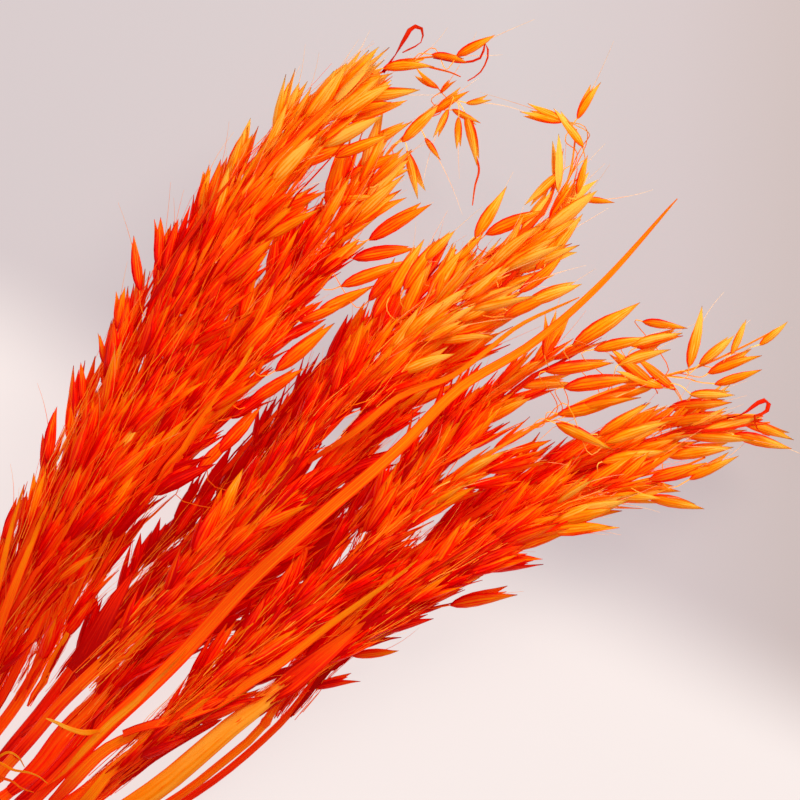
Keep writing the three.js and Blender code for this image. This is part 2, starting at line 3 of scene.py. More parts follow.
import bpy
import numpy as np
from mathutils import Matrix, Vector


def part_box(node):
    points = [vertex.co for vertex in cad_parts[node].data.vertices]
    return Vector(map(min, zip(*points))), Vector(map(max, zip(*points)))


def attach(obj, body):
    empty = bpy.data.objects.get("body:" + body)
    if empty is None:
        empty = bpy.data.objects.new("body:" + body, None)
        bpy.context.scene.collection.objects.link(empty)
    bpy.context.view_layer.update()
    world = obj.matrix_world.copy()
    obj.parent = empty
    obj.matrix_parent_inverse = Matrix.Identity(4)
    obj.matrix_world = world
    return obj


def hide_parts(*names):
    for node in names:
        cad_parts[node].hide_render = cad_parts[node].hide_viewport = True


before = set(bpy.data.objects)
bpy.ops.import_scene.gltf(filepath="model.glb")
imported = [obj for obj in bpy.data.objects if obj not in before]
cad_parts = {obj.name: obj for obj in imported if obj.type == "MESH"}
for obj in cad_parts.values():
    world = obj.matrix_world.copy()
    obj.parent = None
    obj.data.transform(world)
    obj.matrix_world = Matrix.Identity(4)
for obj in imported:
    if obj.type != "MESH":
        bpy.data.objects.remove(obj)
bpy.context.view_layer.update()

# A tied bundle of dyed, dried oats, lying on a pale surface. Lengths are in mm and angles in degrees. +X
# runs from the cut ends to the heads, +Y is to the left of that, +Z is up, and X = 0, Y = 0 is the middle
# of the tie. mesh_piece turns it all into metres in the frame of the solids. Only the floor, the view and
# the lamps are laid out in metres. A dye is a number from 0 for deep red to 1 for pale yellow.
# A dye also carries painted light and shade: heads paler on top and redder below, random patches along
# them, and darker stems on the low layer.

# The bundle
TAIL_SPREAD = 1.5
LINE_SAMPLES = 30
LINE_STEPS = 1201
STEMS_WIDE = 4
STEM_PITCH = 5.8
STRAIGHT_THROUGH_TIE = 15
LIFT_LENGTH = 155
NOD_START = 340
NOD_DROP = 8
NOD_LENGTH = 100

# Height of a stem's middle line in the tie and at its cut end, from the top layer down
LAYERS = {
    "top": {"slot": 15.4, "tail": 17},
    "middle": {"slot": 10, "tail": 9.6},
    "low": {"slot": 4.6, "tail": 2.4},
}

# The stalk: a hollow straw with swollen knees, which thins to the rachis inside the head. CUT_EDGE is how
# far along it and how deep the edge of its cut end is rounded.
CULM_RADIUS = 2.4
CULM_WALL = 0.6
CULM_SIDES = 14
CULM_STEP = 6
CULM_VEINS = 7
CULM_DYE = 0.48
CUT_EDGE = (0.25, 0.15)
HOLLOW_DEPTH = 16
HOLLOW_END_RADIUS = 0.05
KNEE_RISE = 0.7
KNEE_HALF_LENGTH = 5
KNEE_SPREAD = 2
KNEE_RINGS = 7
RACHIS_RADIUS = (1.3, 0.35)

# The leaf sheath under the head. SHEATH_ROOM is its distance from the stalk at its ends and in between.
SHEATH = {"half_width": 4, "half_height": 2.8}
SHEATH_LENGTH = 44
SHEATH_TAPER = 10
SHEATH_RINGS = 16
SHEATH_SIDES = 20
SHEATH_LAP = 0.13
SHEATH_ROOM = (0.2, 0.3)
SHEATH_DYE = 0.42

# The leaf blade
BLADE_VEINS = 3
BLADE_STEP = 6
BLADE_LEAST_STEPS = 14
BLADE_TIP = 0.2
BLADE_FOOT = 0.55
BLADE_POINT = 0.55
BLADE_ARCH = 0.3
BLADE_SKIN = 0.3
BLADE_DYE = 0.4

# The head
FOOT_SHARE = 0.45
FULL_FROM = 0.35
FULL_TO = 0.68
TIP_SHARE = 0.25
SPIKELET_EVERY = 8.6
GOLDEN_ANGLE = 137.5
AZIMUTH_JITTER = 40
ROOT_SPREAD = 0.56
ROOT_BACK = 6
HEAD_END = 24
TIP_CUT = 2
OUTER_FROM = 0.7
FLATTENING = 0.6
TILT_INNER = 6
TILT_OUTER = 15
LEAN_RANGE = (0.75, 1.25)
HEAD_DYE = (0.2, 0.93)
PALE_FROM = 230
PALE_OVER = 170
# Random patches of painted shade and painted light along a head: how many there are and how strong
LIGHT_AND_SHADE_PATCHES = 9
LIGHT_AND_SHADE_SPREAD = 0.15
# Painted light and shade: the top of a head is paler and its underside redder, the outer spikelets most
TOP_PAINTED_LIGHT = 0.12
DYE_SPREAD = 0.11

# The spikelets inside a head, for one outer one
INNER_FOR_ONE = 6.96
INNER_TURN = 60
INNER_JITTER = 30
INNER_THINNING = 1.8
INNER_SCALE = (0.85, 1.3)
INNER_SLENDER = 0.78
INNER_DEPTH = (0.25, 0.97)
INNER_GAPE = (0.8, 3.0)
INNER_LEAN = (0.5, 1.5)

# Threads and torn strips that run along a head: past its ends by the overrun, over its top and down its
# sides by RUN_BELOW radians, and off its surface by RUN_CLEAR
OVERRUN = 20
RUN_BELOW = 0.3
RUN_DEPTH = (0.5, 1.0)
RUN_PARTING = (-0.3, 0.6)
RUN_CLEAR = 1.5
RUN_WAVE = 0.5
STRAND_EVERY = 1.55
STRAND_LENGTH = (25, 75)
STRAND_RADIUS = (0.1, 0.26)
STRAND_DRIFT = 0.5
STRAND_DYE = (0.3, 0.9)
STRAND_SHARE = 0.5
SHRED_EVERY = 7
SHRED_LENGTH = (30, 90)
SHRED_HALF_WIDTH = (0.6, 1.9)
SHRED_DRIFT = 0.25
SHRED_ARCH = 0.4
SHRED_SKIN = 0.15
SHRED_DYE = (0.05, 0.6)

# The spikelet: two husks that open like a beak, a floret between them, an awn and a thin stalk
SPIKELET_LENGTH = 24
SPIKELET_WIDTH = 5
SPIKELET_DEPTH = 4.2
SCALE_RANGE = (0.95, 1.25)
GAPE_RANGE = (1.6, 3.9)
SECOND_HUSK = 0.92
HUSK_STATIONS = (0, 0.09, 0.22, 0.4, 0.6, 0.8, 1)
INNER_STATIONS = (0, 0.15, 0.38, 0.6, 0.8, 1)
HUSK_REACH = (0.94, 1)
HUSK_ARCH = (0.7, 0.95)
HUSK_BEND = 1.2
HUSK_WARP = 0.3
HUSK_SLENDER = 0.85
HUSK_BROAD = 1.05
HUSK_SKIN = 0.14
HUSK_GAP = 0.12
HUSK_VEINS = 4.5
HUSK_DYE_SPREAD = 0.04
FLORET_STATIONS = (0.04, 0.25, 0.5, 0.78, 1)
FLORET_REACH = (0.62, 0.86)
FLORET_RADIUS = 1.25
FLORET_SIDES = 5
FLORET_PALER = 0.12
AWN_SHARE = 0.6
AWN_FROM = 0.45
AWN_LENGTH = (15, 30)
AWN_RADIUS = 0.16
AWN_ASIDE = 0.16
AWN_BEND = (0.06, 0.3)
AWN_PALER = 0.1
STALK_RADIUS = 0.24
STALK_BACK = (14, 38)
STALK_WAVE = 0.09

# How far a stalk swings out, as a share of its reach, and how many rings it has
SHORT_STALK = (0.4, 6)
LONG_STALK = (0.9, 11)

# The spikelets that hang away from a head
LOOSE_STALK_BACK = 12
LOOSE_LIFT = 2
LOOSE_DROOP = -0.1
LOOSE_ROLL = 25
LOOSE_GAPE = 1.8
LOOSE_DYE = (0.36, 0.8)
LOOSE_DYE_SPREAD = (-0.14, 0.2)

# The tie
TIE_GAP = 0.3
TWINE_TURNS = 4
TWINE_PITCH = 2.2
TWINE_RADIUS = 0.95
TWINE_DYE = 0.5
PLY_RADIUS = 0.56
PLY_APART = 0.85
PLY_TWIST = 6.5
PLY_STEP = 0.8
PLY_SIDES = 7
CORNER_POINTS = 9
COIL_POINTS = 560
COIL_FIBRES = 260
KNOT_LIFT = 1.2
KNOT_POINTS = 90
KNOT_DYE = 0.55
KNOT_SIZE = (1.05, 1.35, 1.1)
KNOT_LOOPS = 1.3
END_POINTS = 60
END_FIBRES = 60
END_FRAY = 0.9
TWINE_END = ((0, 0, 1.4), (-4, 8, 3.2), (-9, 15, 2), (-11, 21, -2))

# Short fibres that stand off the twine
FIBRE_FROM = 0.8
FIBRE_LENGTH = (1.2, 3.2)
FIBRE_RADIUS = 0.05
FIBRE_DYE = (0.4, 0.9)

# Nothing reaches below LOWEST, and what comes under SETTLE_FROM is drawn up towards it
LOWEST = 0.15
SETTLE_FROM = 1.2

# The section of a thin sheet: its points by their turn along an arc, out along one face and back along the
# other
SHELL_EDGE = 75
FINE_TURN = (75, 40, 0, -40, -75, -48, 0, 48)
PLAIN_TURN = (75, 28, -28, -75, -36, 36)

# Faces that meet at more than this keep a sharp edge
SHARP_FROM = 55

# A tube's cell in the map for baking: where its wall starts and how large it is, and the middle and radii
# of its first end's disc. The last end's disc lies DISC_RISE above that.
CELL_WALL = np.array([(0.04, 0.14), (0.92, 0.72)])
CELL_DISC = np.array([(0.5, 0.06), (0.4, 0.04)])
DISC_RISE = 0.88

# The seeded draws, as in the source of the solids
DRAW_FACTOR = 16807
DRAW_MODULUS = 2147483647

# How far each thing shifts the dye of a surface, and over which share of its length
STREAK_SHIFT = 0.9
MARGIN_SHIFT = -0.3
FOOT_SHIFT = -0.22
FOOT_RANGE = (0.3, 0)
TIP_SHIFT = 0.2
TIP_RANGE = (0.35, 0.85)

# Noise moves on by this much from one dye to the next, so that no two husks have the same streaks
STREAK_CHANGE = 40

# A weak red glow painted on every dyed plant surface, which keeps its shade red: painted light in place of
# the light that husks pass on to each other
PAINTED_RED_GLOW = ("FF0400", 0.13)

# The view looks straight down, turned so that the heads run up to the right. Its middle lies 300 mm past
# the tie, and it is 320 mm wide there.
VIEW_TURN = -43
VIEW_MIDDLE = (0.300, 0.007, 0.045)
VIEW_WIDTH = 0.320
LENS = 100
SENSOR = 36

# The card's painted light and shade turn from warm white to shaded grey past an edge, turned by the angle
# below in the view, between the places below across it
FLOOR_HALF = 4
SHADE_EDGE_TURN = 26
SHADE_EDGE = (0.214, 0.27)

# One entry a stem, from the left to the right of the top layer, and then the same of the lower ones. "lane"
# is the height its head lies at, "cut" is where it was cut off, "way" is the middle line seen from above,
# past the tie, and "loose" lists the spikelets that hang away from a head: where each starts, which way it
# points and how large it is. "bare_tip" is the length of stalk past the last spikelets of the head, and
# "tip_share" how full the head still is there. "pale" makes a head yellower, and "crowd" denser. On the low
# layer "pale" is below zero as painted shade, which darkens the stems that lie under the others. "sheath"
# is for a leaf sheath that isn't the usual one, and its "from" is where that starts.
STEMS = [
    dict(
        lane=50, cut=-166, half_width=27, bare_tip=50, plume_from=92, knees=(-118, 62), pale=0.1,
        crowd=1.7, tip_share=0.6,
        way=[(90, 36), (133, 53), (168, 63.5), (195, 73), (252, 91), (297, 103), (336, 109), (366, 110),
            (386, 107), (403, 99), (412, 91)],
        loose=[(385, 108, -30, 0.85), (403, 99, -45, 0.63), (410, 92, -15, 0.77), (365, 112, -16, 0.97),
            (369, 107, -39, 1.13), (362, 105, -27, 0.79), (358, 117, -8, 1.09), (334, 102, -13, 0.99),
            (347, 95, -17, 0.98), (181, 84, 47, 0.94), (207, 92, 48, 0.71), (224, 98, 53, 0.52),
            (237, 104, 42, 0.72), (254, 109, 56, 0.97), (265, 110, 44, 0.93), (293, 116, 38, 0.74),
            (147, 74, 30, 0.83)],
    ),
    dict(
        lane=46, cut=-163, half_width=17, plume_from=148, knees=(-96, 74), pale=0.04,
        sheath={"from": 96, "half_width": 2.4, "half_height": 2.4},
        way=[(90, 8), (120, 11), (150, 11), (212, 13), (311, 23), (373, 18), (402, 21), (418, 32),
            (427, 39)],
        loose=[(424, 44, 123, 0.75), (425, 44, 116, 0.71), (423, 31, 82, 0.81), (429, 41, 20, 0.74),
            (409, 30, -180, 0.82), (408, 19, 32, 0.69), (408, 16, -43, 0.55), (380, 8, 10, 1.04),
            (375, 8, 13, 0.92), (371, 18, -2, 0.97), (370, 32, -17, 1.07), (366, 34, 15, 1.02),
            (354, 32, 4, 0.66), (361, 24, -26, 0.89), (362, 1, -20, 1.07), (345, 41, 3, 0.76),
            (337, 26, 29, 1.03), (331, 38, 18, 1.1), (325, 40, 17, 1.12), (314, 38, 17, 1),
            (284, 30, 18, 1.04), (364, 6, -8, 0.98), (353, 3, -15, 1.07)],
    ),
    dict(
        lane=48, cut=-168, half_width=16, bare_tip=78, plume_from=112, knees=(-131, 68), pale=0.04,
        way=[(90, -22.5), (130, -24), (191, -26), (242, -27), (293, -30), (361, -46), (397, -65),
            (432, -76)],
        loose=[(365, -24, -10, 1.37), (392, -36, -50, 0.79), (383, -42, -22, 0.85), (393, -62, 32, 1.07),
            (397, -64, -6, 0.79), (409, -70, 22, 0.66), (420, -75, -6, 0.63), (397, -69, -19, 0.97),
            (396, -74, -26, 0.84), (386, -70, -44, 0.78), (378, -58, 98, 1.04), (383, -65, 98, 0.93),
            (380, -61, 117, 0.87), (351, -34, -32, 1.27), (350, -24, -34, 1.16), (339, -42, -67, 1.09),
            (342, -40, -32, 1.19), (348, -57, -12, 1.03), (348, -61, -23, 1.18), (382, -40, -27, 0.9),
            (354, -19, 33, 0.77), (370, -31, -29, 0.99), (373, -42, -22, 0.93)],
    ),
    dict(
        lane=44, cut=-162, half_width=13, plume_from=192, knees=(-108, 38), pale=0.02,
        sheath={"from": 60, "half_width": 4.3, "half_height": 2.2, "pale": 0.4},
        way=[(90, -35.5), (110, -39.5), (131, -41.8), (159, -42.5), (183, -45), (243, -51.5),
            (293, -61.5), (326, -71), (354, -86), (376, -97)],
        loose=[(342, -66, -33, 1.16), (346, -89, -54, 0.96)],
    ),
    dict(
        lane=31, cut=-167, half_width=19, bare_tip=46, plume_from=120, knees=(-124, 58), pale=0.1,
        crowd=1.3, tip_share=0.5, sheath={"from": 76, "half_width": 2.2, "half_height": 2.2},
        way=[(90, 21.5), (106, 24.3), (118, 28.2), (134, 34.5), (166, 47), (195, 56), (240, 62),
            (297, 72), (338, 79), (368, 84), (385, 84), (398, 81)],
        loose=[(398, 89, 109, 0.54), (397, 87, 10, 0.34), (389, 83, -3, 0.75), (372, 83, 5, 0.99),
            (402, 77, -41, 0.44), (395, 80, -160, 0.57), (396, 79, -68, 0.56), (396, 75, -135, 0.57),
            (399, 74, -118, 0.91), (380, 78, -99, 0.49), (371, 79, -118, 0.84), (354, 77, -11, 0.61),
            (333, 86, -36, 0.95), (338, 81, -140, 0.94), (335, 63, -10, 1.27), (325, 62, -30, 1.13),
            (314, 57, -20, 1.27), (300, 56, -20, 1.1), (297, 64, 1, 1.22), (292, 58, -23, 0.97),
            (318, 45, 8, 0.96), (274, 62, -3, 1.17), (271, 50, -3, 1.32), (345, 88, -17, 1.07),
            (356, 93, -16, 1.06), (245, 48, -6, 1.12), (254, 48, -9, 1.14)],
    ),
    dict(
        lane=30, cut=-164, half_width=13, plume_from=126, knees=(-102, 66), pale=-0.02,
        way=[(90, -2), (105, 0.5), (122, 1), (138, 2.5), (160, 4), (210, 5), (290, 8), (340, 8),
            (376, 4)],
        loose=[(220, 42, 2, 1.05), (230, 42, 2, 1.17)],
    ),
    dict(
        lane=33, cut=-169, half_width=14, plume_from=122, knees=(-136, 54), pale=-0.04,
        way=[(90, -25), (140, -27), (200, -28), (270, -23), (317, -17), (360, -24), (384, -30)],
    ),
    dict(
        lane=28, cut=-165, half_width=14, bare_tip=28, plume_from=192, knees=(-92, 60, 170), pale=-0.02,
        crowd=1.2, culm_radius=1.5,
        sheath={"from": 84, "half_width": 1.5, "half_height": 1.5, "pale": 0.2},
        way=[(66, -30), (100, -44.5), (126, -50.3), (153, -52), (172, -52), (190, -46.5), (214, -42.5),
            (262, -45.5), (314, -54), (354, -71), (380, -84), (408, -106)],
        loose=[(396, -95, -58, 0.93), (390, -96, -56, 1.03), (378, -70, -38, 1.11),
            (367, -69, -34, 0.89), (364, -97, -16, 0.95), (341, -80, -41, 1.05), (364, -84, -34, 1.2),
            (258, -68, -30, 1.18), (374, -75, -32, 1.1), (380, -86, -29, 1.12)],
    ),
    # The low layer. Its pale values below zero are painted shade, as these stems lie under the others.
    dict(
        lane=10, cut=-162, half_width=17, plume_from=100, knees=(-112, 64), pale=-0.12, crowd=0.7,
        way=[(90, 34), (133, 49), (180, 65), (240, 83), (292, 96)],
    ),
    dict(
        lane=11.5, cut=-166, half_width=16, plume_from=128, knees=(-128, 56), pale=-0.2, crowd=0.8,
        sheath={"from": 84, "half_width": 3, "half_height": 2.4},
        way=[(88, 12), (103, 13.6), (116, 15.8), (127, 17.8), (143, 20.5), (165, 24), (200, 25),
            (300, 32), (364, 37)],
    ),
    dict(
        lane=11, cut=-163, half_width=15, plume_from=118, knees=(-98, 62), pale=-0.2, crowd=0.7,
        way=[(90, -9), (140, -2), (200, -8), (322, -24)],
    ),
    dict(
        lane=10, cut=-168, half_width=11, plume_from=196, knees=(-120, 50), pale=-0.12, culm_radius=1.3,
        sheath={"from": 84, "half_width": 1.3, "half_height": 1.3},
        way=[(66, -31), (100, -48), (133, -55.8), (175, -57.2), (210, -52.5), (262, -54), (326, -62)],
        loose=[(213, -57, -36, 0.82), (192, -56, -25, 0.82)],
    ),
]

# What a stem has where its entry says nothing else
PLAIN_STEM = {"culm_radius": CULM_RADIUS, "tip_share": TIP_SHARE, "crowd": 1, "loose": []}

# Leaf blades and torn strips of leaf that can be told apart: the number of the stem each grows on, its
# half width at the widest place, how far it turns about its line from end to end, how pale it is, and its
# middle line
BLADES = [
    (3, 3.6, 40, 0.16, [(48, -11, 19.5), (66, -11.5, 25), (86, -10.3, 31), (110, -9.3, 38),
        (128, -8.6, 41), (151, -8.6, 43), (168, -8, 45), (204, -5, 52), (244, -5, 61), (287, -6.5, 63),
        (320, -5.5, 64), (352, -12, 63), (387, -13.5, 61), (434, -9.5, 58)]),
    (2, 1.5, 30, 0.25, [(256, 14, 44), (278, 10, 54), (301, 8, 58), (321, 0, 61), (337, -2, 62),
        (354, -3.5, 62), (379, -11.5, 61)]),
    (6, 2.1, 200, 0.42, [(84, -9, 30), (98, -10.2, 38), (110, -9.3, 42), (128, -8.6, 45),
        (140, -9.3, 46), (151, -8.6, 46), (164, -8.2, 46), (176, -7, 42)]),
    (6, 1.2, 10, 0.5, [(122, -8, 45.5), (117, -4, 46), (113.5, 2, 46.5), (112, 6, 46.5),
        (110, 10.5, 47)]),
    (10, 1.4, 20, -0.04, [(92, 12.5, 22), (103, 11, 32), (112, 10, 36), (123, 9.7, 38), (136, 10.2, 38),
        (148, 13, 36)]),
    (7, 3.8, 30, -0.38, [(112, -28.5, 34), (125, -28.5, 38), (135, -30.5, 39), (146, -33.5, 40),
        (160, -38, 41)]),
    (3, 3.2, 40, 0.2, [(84, -16, 30), (94, -15.6, 38), (103, -15, 42), (117, -14.8, 44),
        (129, -17.7, 45), (143, -23.4, 46), (156, -30, 46)]),
    (3, 2.8, 30, 0.36, [(84, -25, 30), (99, -24.7, 40), (113, -22.8, 42), (126, -23.2, 43),
        (138, -27.6, 44), (152, -31, 44)]),
    (3, 2.5, 60, 0.16, [(128, -15, 46), (136, -18, 49), (145, -23, 51), (157, -28, 53), (168, -32, 54),
        (181, -34, 56), (193, -36.5, 57), (220, -39, 57), (250, -43, 56), (262, -44, 54)]),
    (4, 5.6, 70, -0.1, [(180, -44, 45), (190, -45, 48), (203, -46, 51), (216, -47, 52), (230, -48, 51)]),
    (1, 2.6, 40, 0.1, [(86, 32, 44), (104, 40, 50), (124, 50, 56), (150, 62, 60), (172, 72, 61)]),
    (1, 2.0, -50, 0.16, [(92, 42, 44), (112, 50, 52), (134, 62, 56), (152, 74, 56), (168, 84, 52)]),
    (5, 2.2, 60, -0.02, [(84, 24, 30), (104, 30, 36), (124, 37, 41), (146, 45.5, 44), (166, 53, 44)]),
    (10, 5.5, 30, -0.4, [(126, 17, 26), (136, 18, 34), (146, 21, 38), (158, 25, 40), (174, 29.5, 39)]),
    (1, 1.1, 300, -0.15, [(384, 107, 49), (393, 109, 49), (400, 111, 50), (405, 112, 50.5),
        (407, 109, 50), (403.5, 105.5, 49.5), (395, 107.5, 49)]),
    (1, 0.4, 90, -0.1, [(403, 98, 45), (411, 88, 46), (417, 85, 47), (422, 88, 48), (420, 84, 46),
        (413, 81, 44), (407, 82, 43)]),
    (1, 0.35, 90, 0.1, [(394, 103, 47), (397, 99.5, 48), (400, 95, 47), (404, 89, 46), (406, 85, 45)]),
    (5, 0.35, 40, 0.05, [(392, 62, 25), (388, 54, 25), (382, 50, 25), (376, 45, 24)]),
    (8, 1.1, 240, -0.15, [(392, -89, 31), (398, -92, 32), (406, -93, 33), (409, -95, 33), (405, -98, 32),
        (401, -96, 31), (398, -102, 31), (400, -106, 31)]),
    (2, 0.5, 120, 0.4, [(78, 12, 32), (82, 10, 37), (84.5, 4.3, 39), (88.6, -0.7, 40), (90.5, -4.6, 40),
        (91, -9, 39)]),
    (2, 0.45, 120, 0.45, [(80, 12.5, 34), (83.5, 12, 37), (87.8, 10.8, 38), (89.3, 6.5, 38),
        (88, 2, 36)]),
    (6, 0.5, 90, 0.1, [(76, 9, 30), (77.6, 5.8, 35), (80.7, 0.8, 37), (81.4, -3.2, 37), (84, -8, 37)]),
]

# Openings among the heads where the surface shows through: the middle of each seen from above, its half
# length and half width, and which way it runs. No spikelet of a head crosses one.
OPENINGS = np.array([
    (277, 16, 4.5, 1.5, -10), (258, 12, 7.5, 1.8, 5), (301, -28, 7.5, 2, 0), (282, -38, 7.5, 2, -6),
    (260, -23, 4, 1.2, 2), (246, -23, 7.5, 1.8, -22), (228, -18, 4.5, 1.2, -15), (306, -40, 4, 1.2, -16),
    (329, -39, 8, 2, -19), (148, -13, 22, 1.6, 0), (127, 12.8, 10, 1, 3), (115, 7.6, 8, 1, -7),
    (343, -36, 9, 2, -24),
])
OPENING_MARGIN = 1
OPENING_PROBES = np.array([0, 0.25, 0.5, 0.75, 1])

UP = np.array([0.0, 0, 1])
HUSK, STRAW, BLADE, BRISTLE = range(4)


def ease(t):
    """Smooth step from 0 to 1."""
    c = np.clip(t, 0, 1)
    return c * c * (3 - 2 * c)


def lerp(a, b, t):
    return a + (b - a) * t


def unit(v):
    return v / np.linalg.norm(v, axis=-1, keepdims=True)


def numbers(seed, count):
    """A seeded row of numbers from 0 to 1, each from the last by one multiplication and remainder."""
    row = np.empty(count)
    state = seed
    for i in range(count):
        state = (state * DRAW_FACTOR) % DRAW_MODULUS
        row[i] = state / DRAW_MODULUS
    return row


def spline(anchors, steps=LINE_STEPS):
    """Smooth curve through the anchors, centripetal Catmull-Rom: cubic Hermite spans whose knots lie the
    square root of the distance apart, read at even steps of the parameter."""
    a = np.asarray(anchors, float)
    p = np.vstack([2 * a[0] - a[1], a, 2 * a[-1] - a[-2]])
    at = np.linspace(0, len(a) - 1, steps)
    i = np.minimum(at.astype(int), len(a) - 2)
    w = (at - i)[:, None]
    p0, p1, p2, p3 = (p[i + k] for k in range(4))
    d0, d1, d2 = (np.linalg.norm(q - r, axis=1)[:, None] ** 0.5 for q, r in ((p1, p0), (p2, p1), (p3, p2)))
    out = d1 * ((p1 - p0) / d0 - (p2 - p0) / (d0 + d1) + (p2 - p1) / d1)
    into = d1 * ((p2 - p1) / d1 - (p3 - p1) / (d1 + d2) + (p3 - p2) / d2)
    return p1 + w * out + w**2 * (3 * (p2 - p1) - 2 * out - into) + w**3 * (2 * (p1 - p2) + out + into)


class Line:
    """A line through close points, read by the length run along it."""

    def __init__(self, points):
        self.points = np.asarray(points, float)
        self.run = np.r_[0, np.cumsum(np.linalg.norm(np.diff(self.points, axis=0), axis=1))]
        self.length = self.run[-1]

    def at(self, place):
        return np.stack([np.interp(place, self.run, self.points[:, k]) for k in range(3)], -1)

    def frame(self, place, level=UP):
        """Point, direction, side and top at each place. The side is at a right angle to level."""
        place = np.asarray(place, float)
        along = unit(self.at(place + 0.5) - self.at(place - 0.5))
        side = unit(np.cross(level, along))
        return self.at(place), along, side, np.cross(along, side)

    def place_of(self, x):
        """The first whole length at which the line has passed x."""
        places = np.arange(math.ceil(self.length) + 1.0)
        past = self.at(places)[:, 0] >= x
        return min(places[past.argmax()], self.length) if past.any() else self.length


def tubes(middle, side, top, half_width, half_height, sides):
    """Rings of round tubes: each point is the middle plus the side and top directions by the cosine and
    sine of its turn. The arrays run tube by tube and ring by ring."""
    turn = np.arange(sides) * 2 * math.pi / sides
    across = np.asarray(half_width)[..., None, None] * np.cos(turn)[:, None] * side[..., None, :]
    upward = np.asarray(half_height)[..., None, None] * np.sin(turn)[:, None] * top[..., None, :]
    return middle[..., None, :] + across + upward


def threads(middle, radius):
    """Rings of three-sided tubes, too thin for more, along rows of points."""
    along = unit(np.gradient(middle, axis=1))
    side = unit(np.cross(UP, along))
    radius = np.broadcast_to(radius, middle.shape[:2])
    return tubes(middle, side, np.cross(along, side), radius, radius, 3)


def round_trip(sides):
    """0 to 1 and back to 0 round a tube, so that a pattern read by it has no seam."""
    return 1 - np.abs(1 - 2 * np.arange(sides) / sides)


def shells(middle, across, out, half_width, arch, lift, skin, turn=FINE_TURN):
    """Rings of thin curved sheets, such as a husk or a leaf blade, and how far across each point lies, from
    -1 to 1. A section is a crescent: an arc of 150 degrees, flattened to the arch's height, and back along
    the same arc a skin's thickness lower."""
    a, edge = np.radians(turn), math.radians(SHELL_EDGE)
    aside, up = np.sin(a) / math.sin(edge), (np.cos(a) - math.cos(edge)) / (1 - math.cos(edge))
    inner = np.arange(len(turn)) > turn.index(-SHELL_EDGE)
    width = half_width[..., None] * aside
    height = lift[..., None] + arch[..., None] * up - skin * inner
    spread = width[..., None] * across[..., None, :]
    return middle[..., None, :] + spread + height[..., None] * out[..., None, :], aside


class Sheaf:
    """One piece's mesh as it grows, from batches of closed tubes. A batch is an array of tube, ring, point
    and xyz. vein is (across in veins, mm along, share of the length) at each point."""

    def __init__(self, finishes):
        self.finishes = finishes
        self.batches = []

    def add(self, rings, across, along, share, dye, finish):
        """Adds a batch. Across is given point by point, along and share ring by ring, and dye tube by
        tube."""
        along, share = (np.asarray(each)[..., None] for each in (along, share))
        vein = np.stack(np.broadcast_arrays(across, along, share), -1)
        vein = np.broadcast_to(vein, rings.shape)
        dye = np.broadcast_to(np.asarray(dye, float)[:, None, None], rings.shape[:3])
        self.batches.append((rings, vein, dye, finish))

    def piece(self, name, node, slot):
        """Every tube gets a wall of four-sided faces from ring to ring, one face over each end, and a cell
        of its own in a square map for baking, with its wall in the middle and its ends above and below."""
        cells = math.ceil(math.sqrt(sum(len(rings) for rings, *_ in self.batches)))
        columns = []
        first_point = first_tube = 0
        for rings, vein, dye, finish in self.batches:
            n, m, k, _ = rings.shape
            index = first_point + np.arange(n * m * k).reshape(n, m, k)
            tube = first_tube + np.arange(n)
            cell = np.stack([tube % cells, tube // cells], -1)
            beside = np.roll(index, -1, 2)
            walls = np.stack([index[:, :-1], beside[:, :-1], beside[:, 1:], index[:, 1:]], -1)
            u = (np.arange(k)[:, None] + [0, 1, 1, 0]) / k
            v = (np.arange(m - 1)[:, None] + [0, 0, 1, 1]) / (m - 1)
            wall = np.stack(np.broadcast_arrays(u[None], v[:, None]), -1)
            turn = np.arange(k) * 2 * math.pi / k
            disc = CELL_DISC[0] + CELL_DISC[1] * np.stack([np.cos(turn), np.sin(turn)], -1)
            faces = [walls.reshape(-1, 4), index[:, 0, ::-1], index[:, -1]]
            bake = [
                cell[:, None, None, None] + CELL_WALL[0] + CELL_WALL[1] * wall,
                (cell[:, None] + disc)[:, ::-1], cell[:, None] + disc + [0, DISC_RISE],
            ]
            totals = np.concatenate([np.full(len(face), face.shape[1]) for face in faces])
            columns.append((
                rings.reshape(-1, 3), vein.reshape(-1, 3), dye.ravel(),
                np.concatenate([face.ravel() for face in faces]), totals, np.full(len(totals), finish),
                np.concatenate([at.reshape(-1, 2) for at in bake]) / cells,
            ))
            first_point += n * m * k
            first_tube += n
        return mesh_piece(name, node, slot, self.finishes, *map(np.concatenate, zip(*columns)))


def settled(z):
    """Height that never goes below the surface: as it is above SETTLE_FROM, and below that it dies away
    towards LOWEST."""
    room = SETTLE_FROM - LOWEST
    return np.where(z > SETTLE_FROM, z, LOWEST + room * np.exp(np.minimum(z - SETTLE_FROM, 0) / room))


def tie_middle():
    low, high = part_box("twine_tie")
    return (low.x + high.x) / 2, (low.y + high.y) / 2


def stand(name, data):
    """Puts an object into the scene, at its origin."""
    thing = bpy.data.objects.new(name, data)
    bpy.context.scene.collection.objects.link(thing)
    return thing


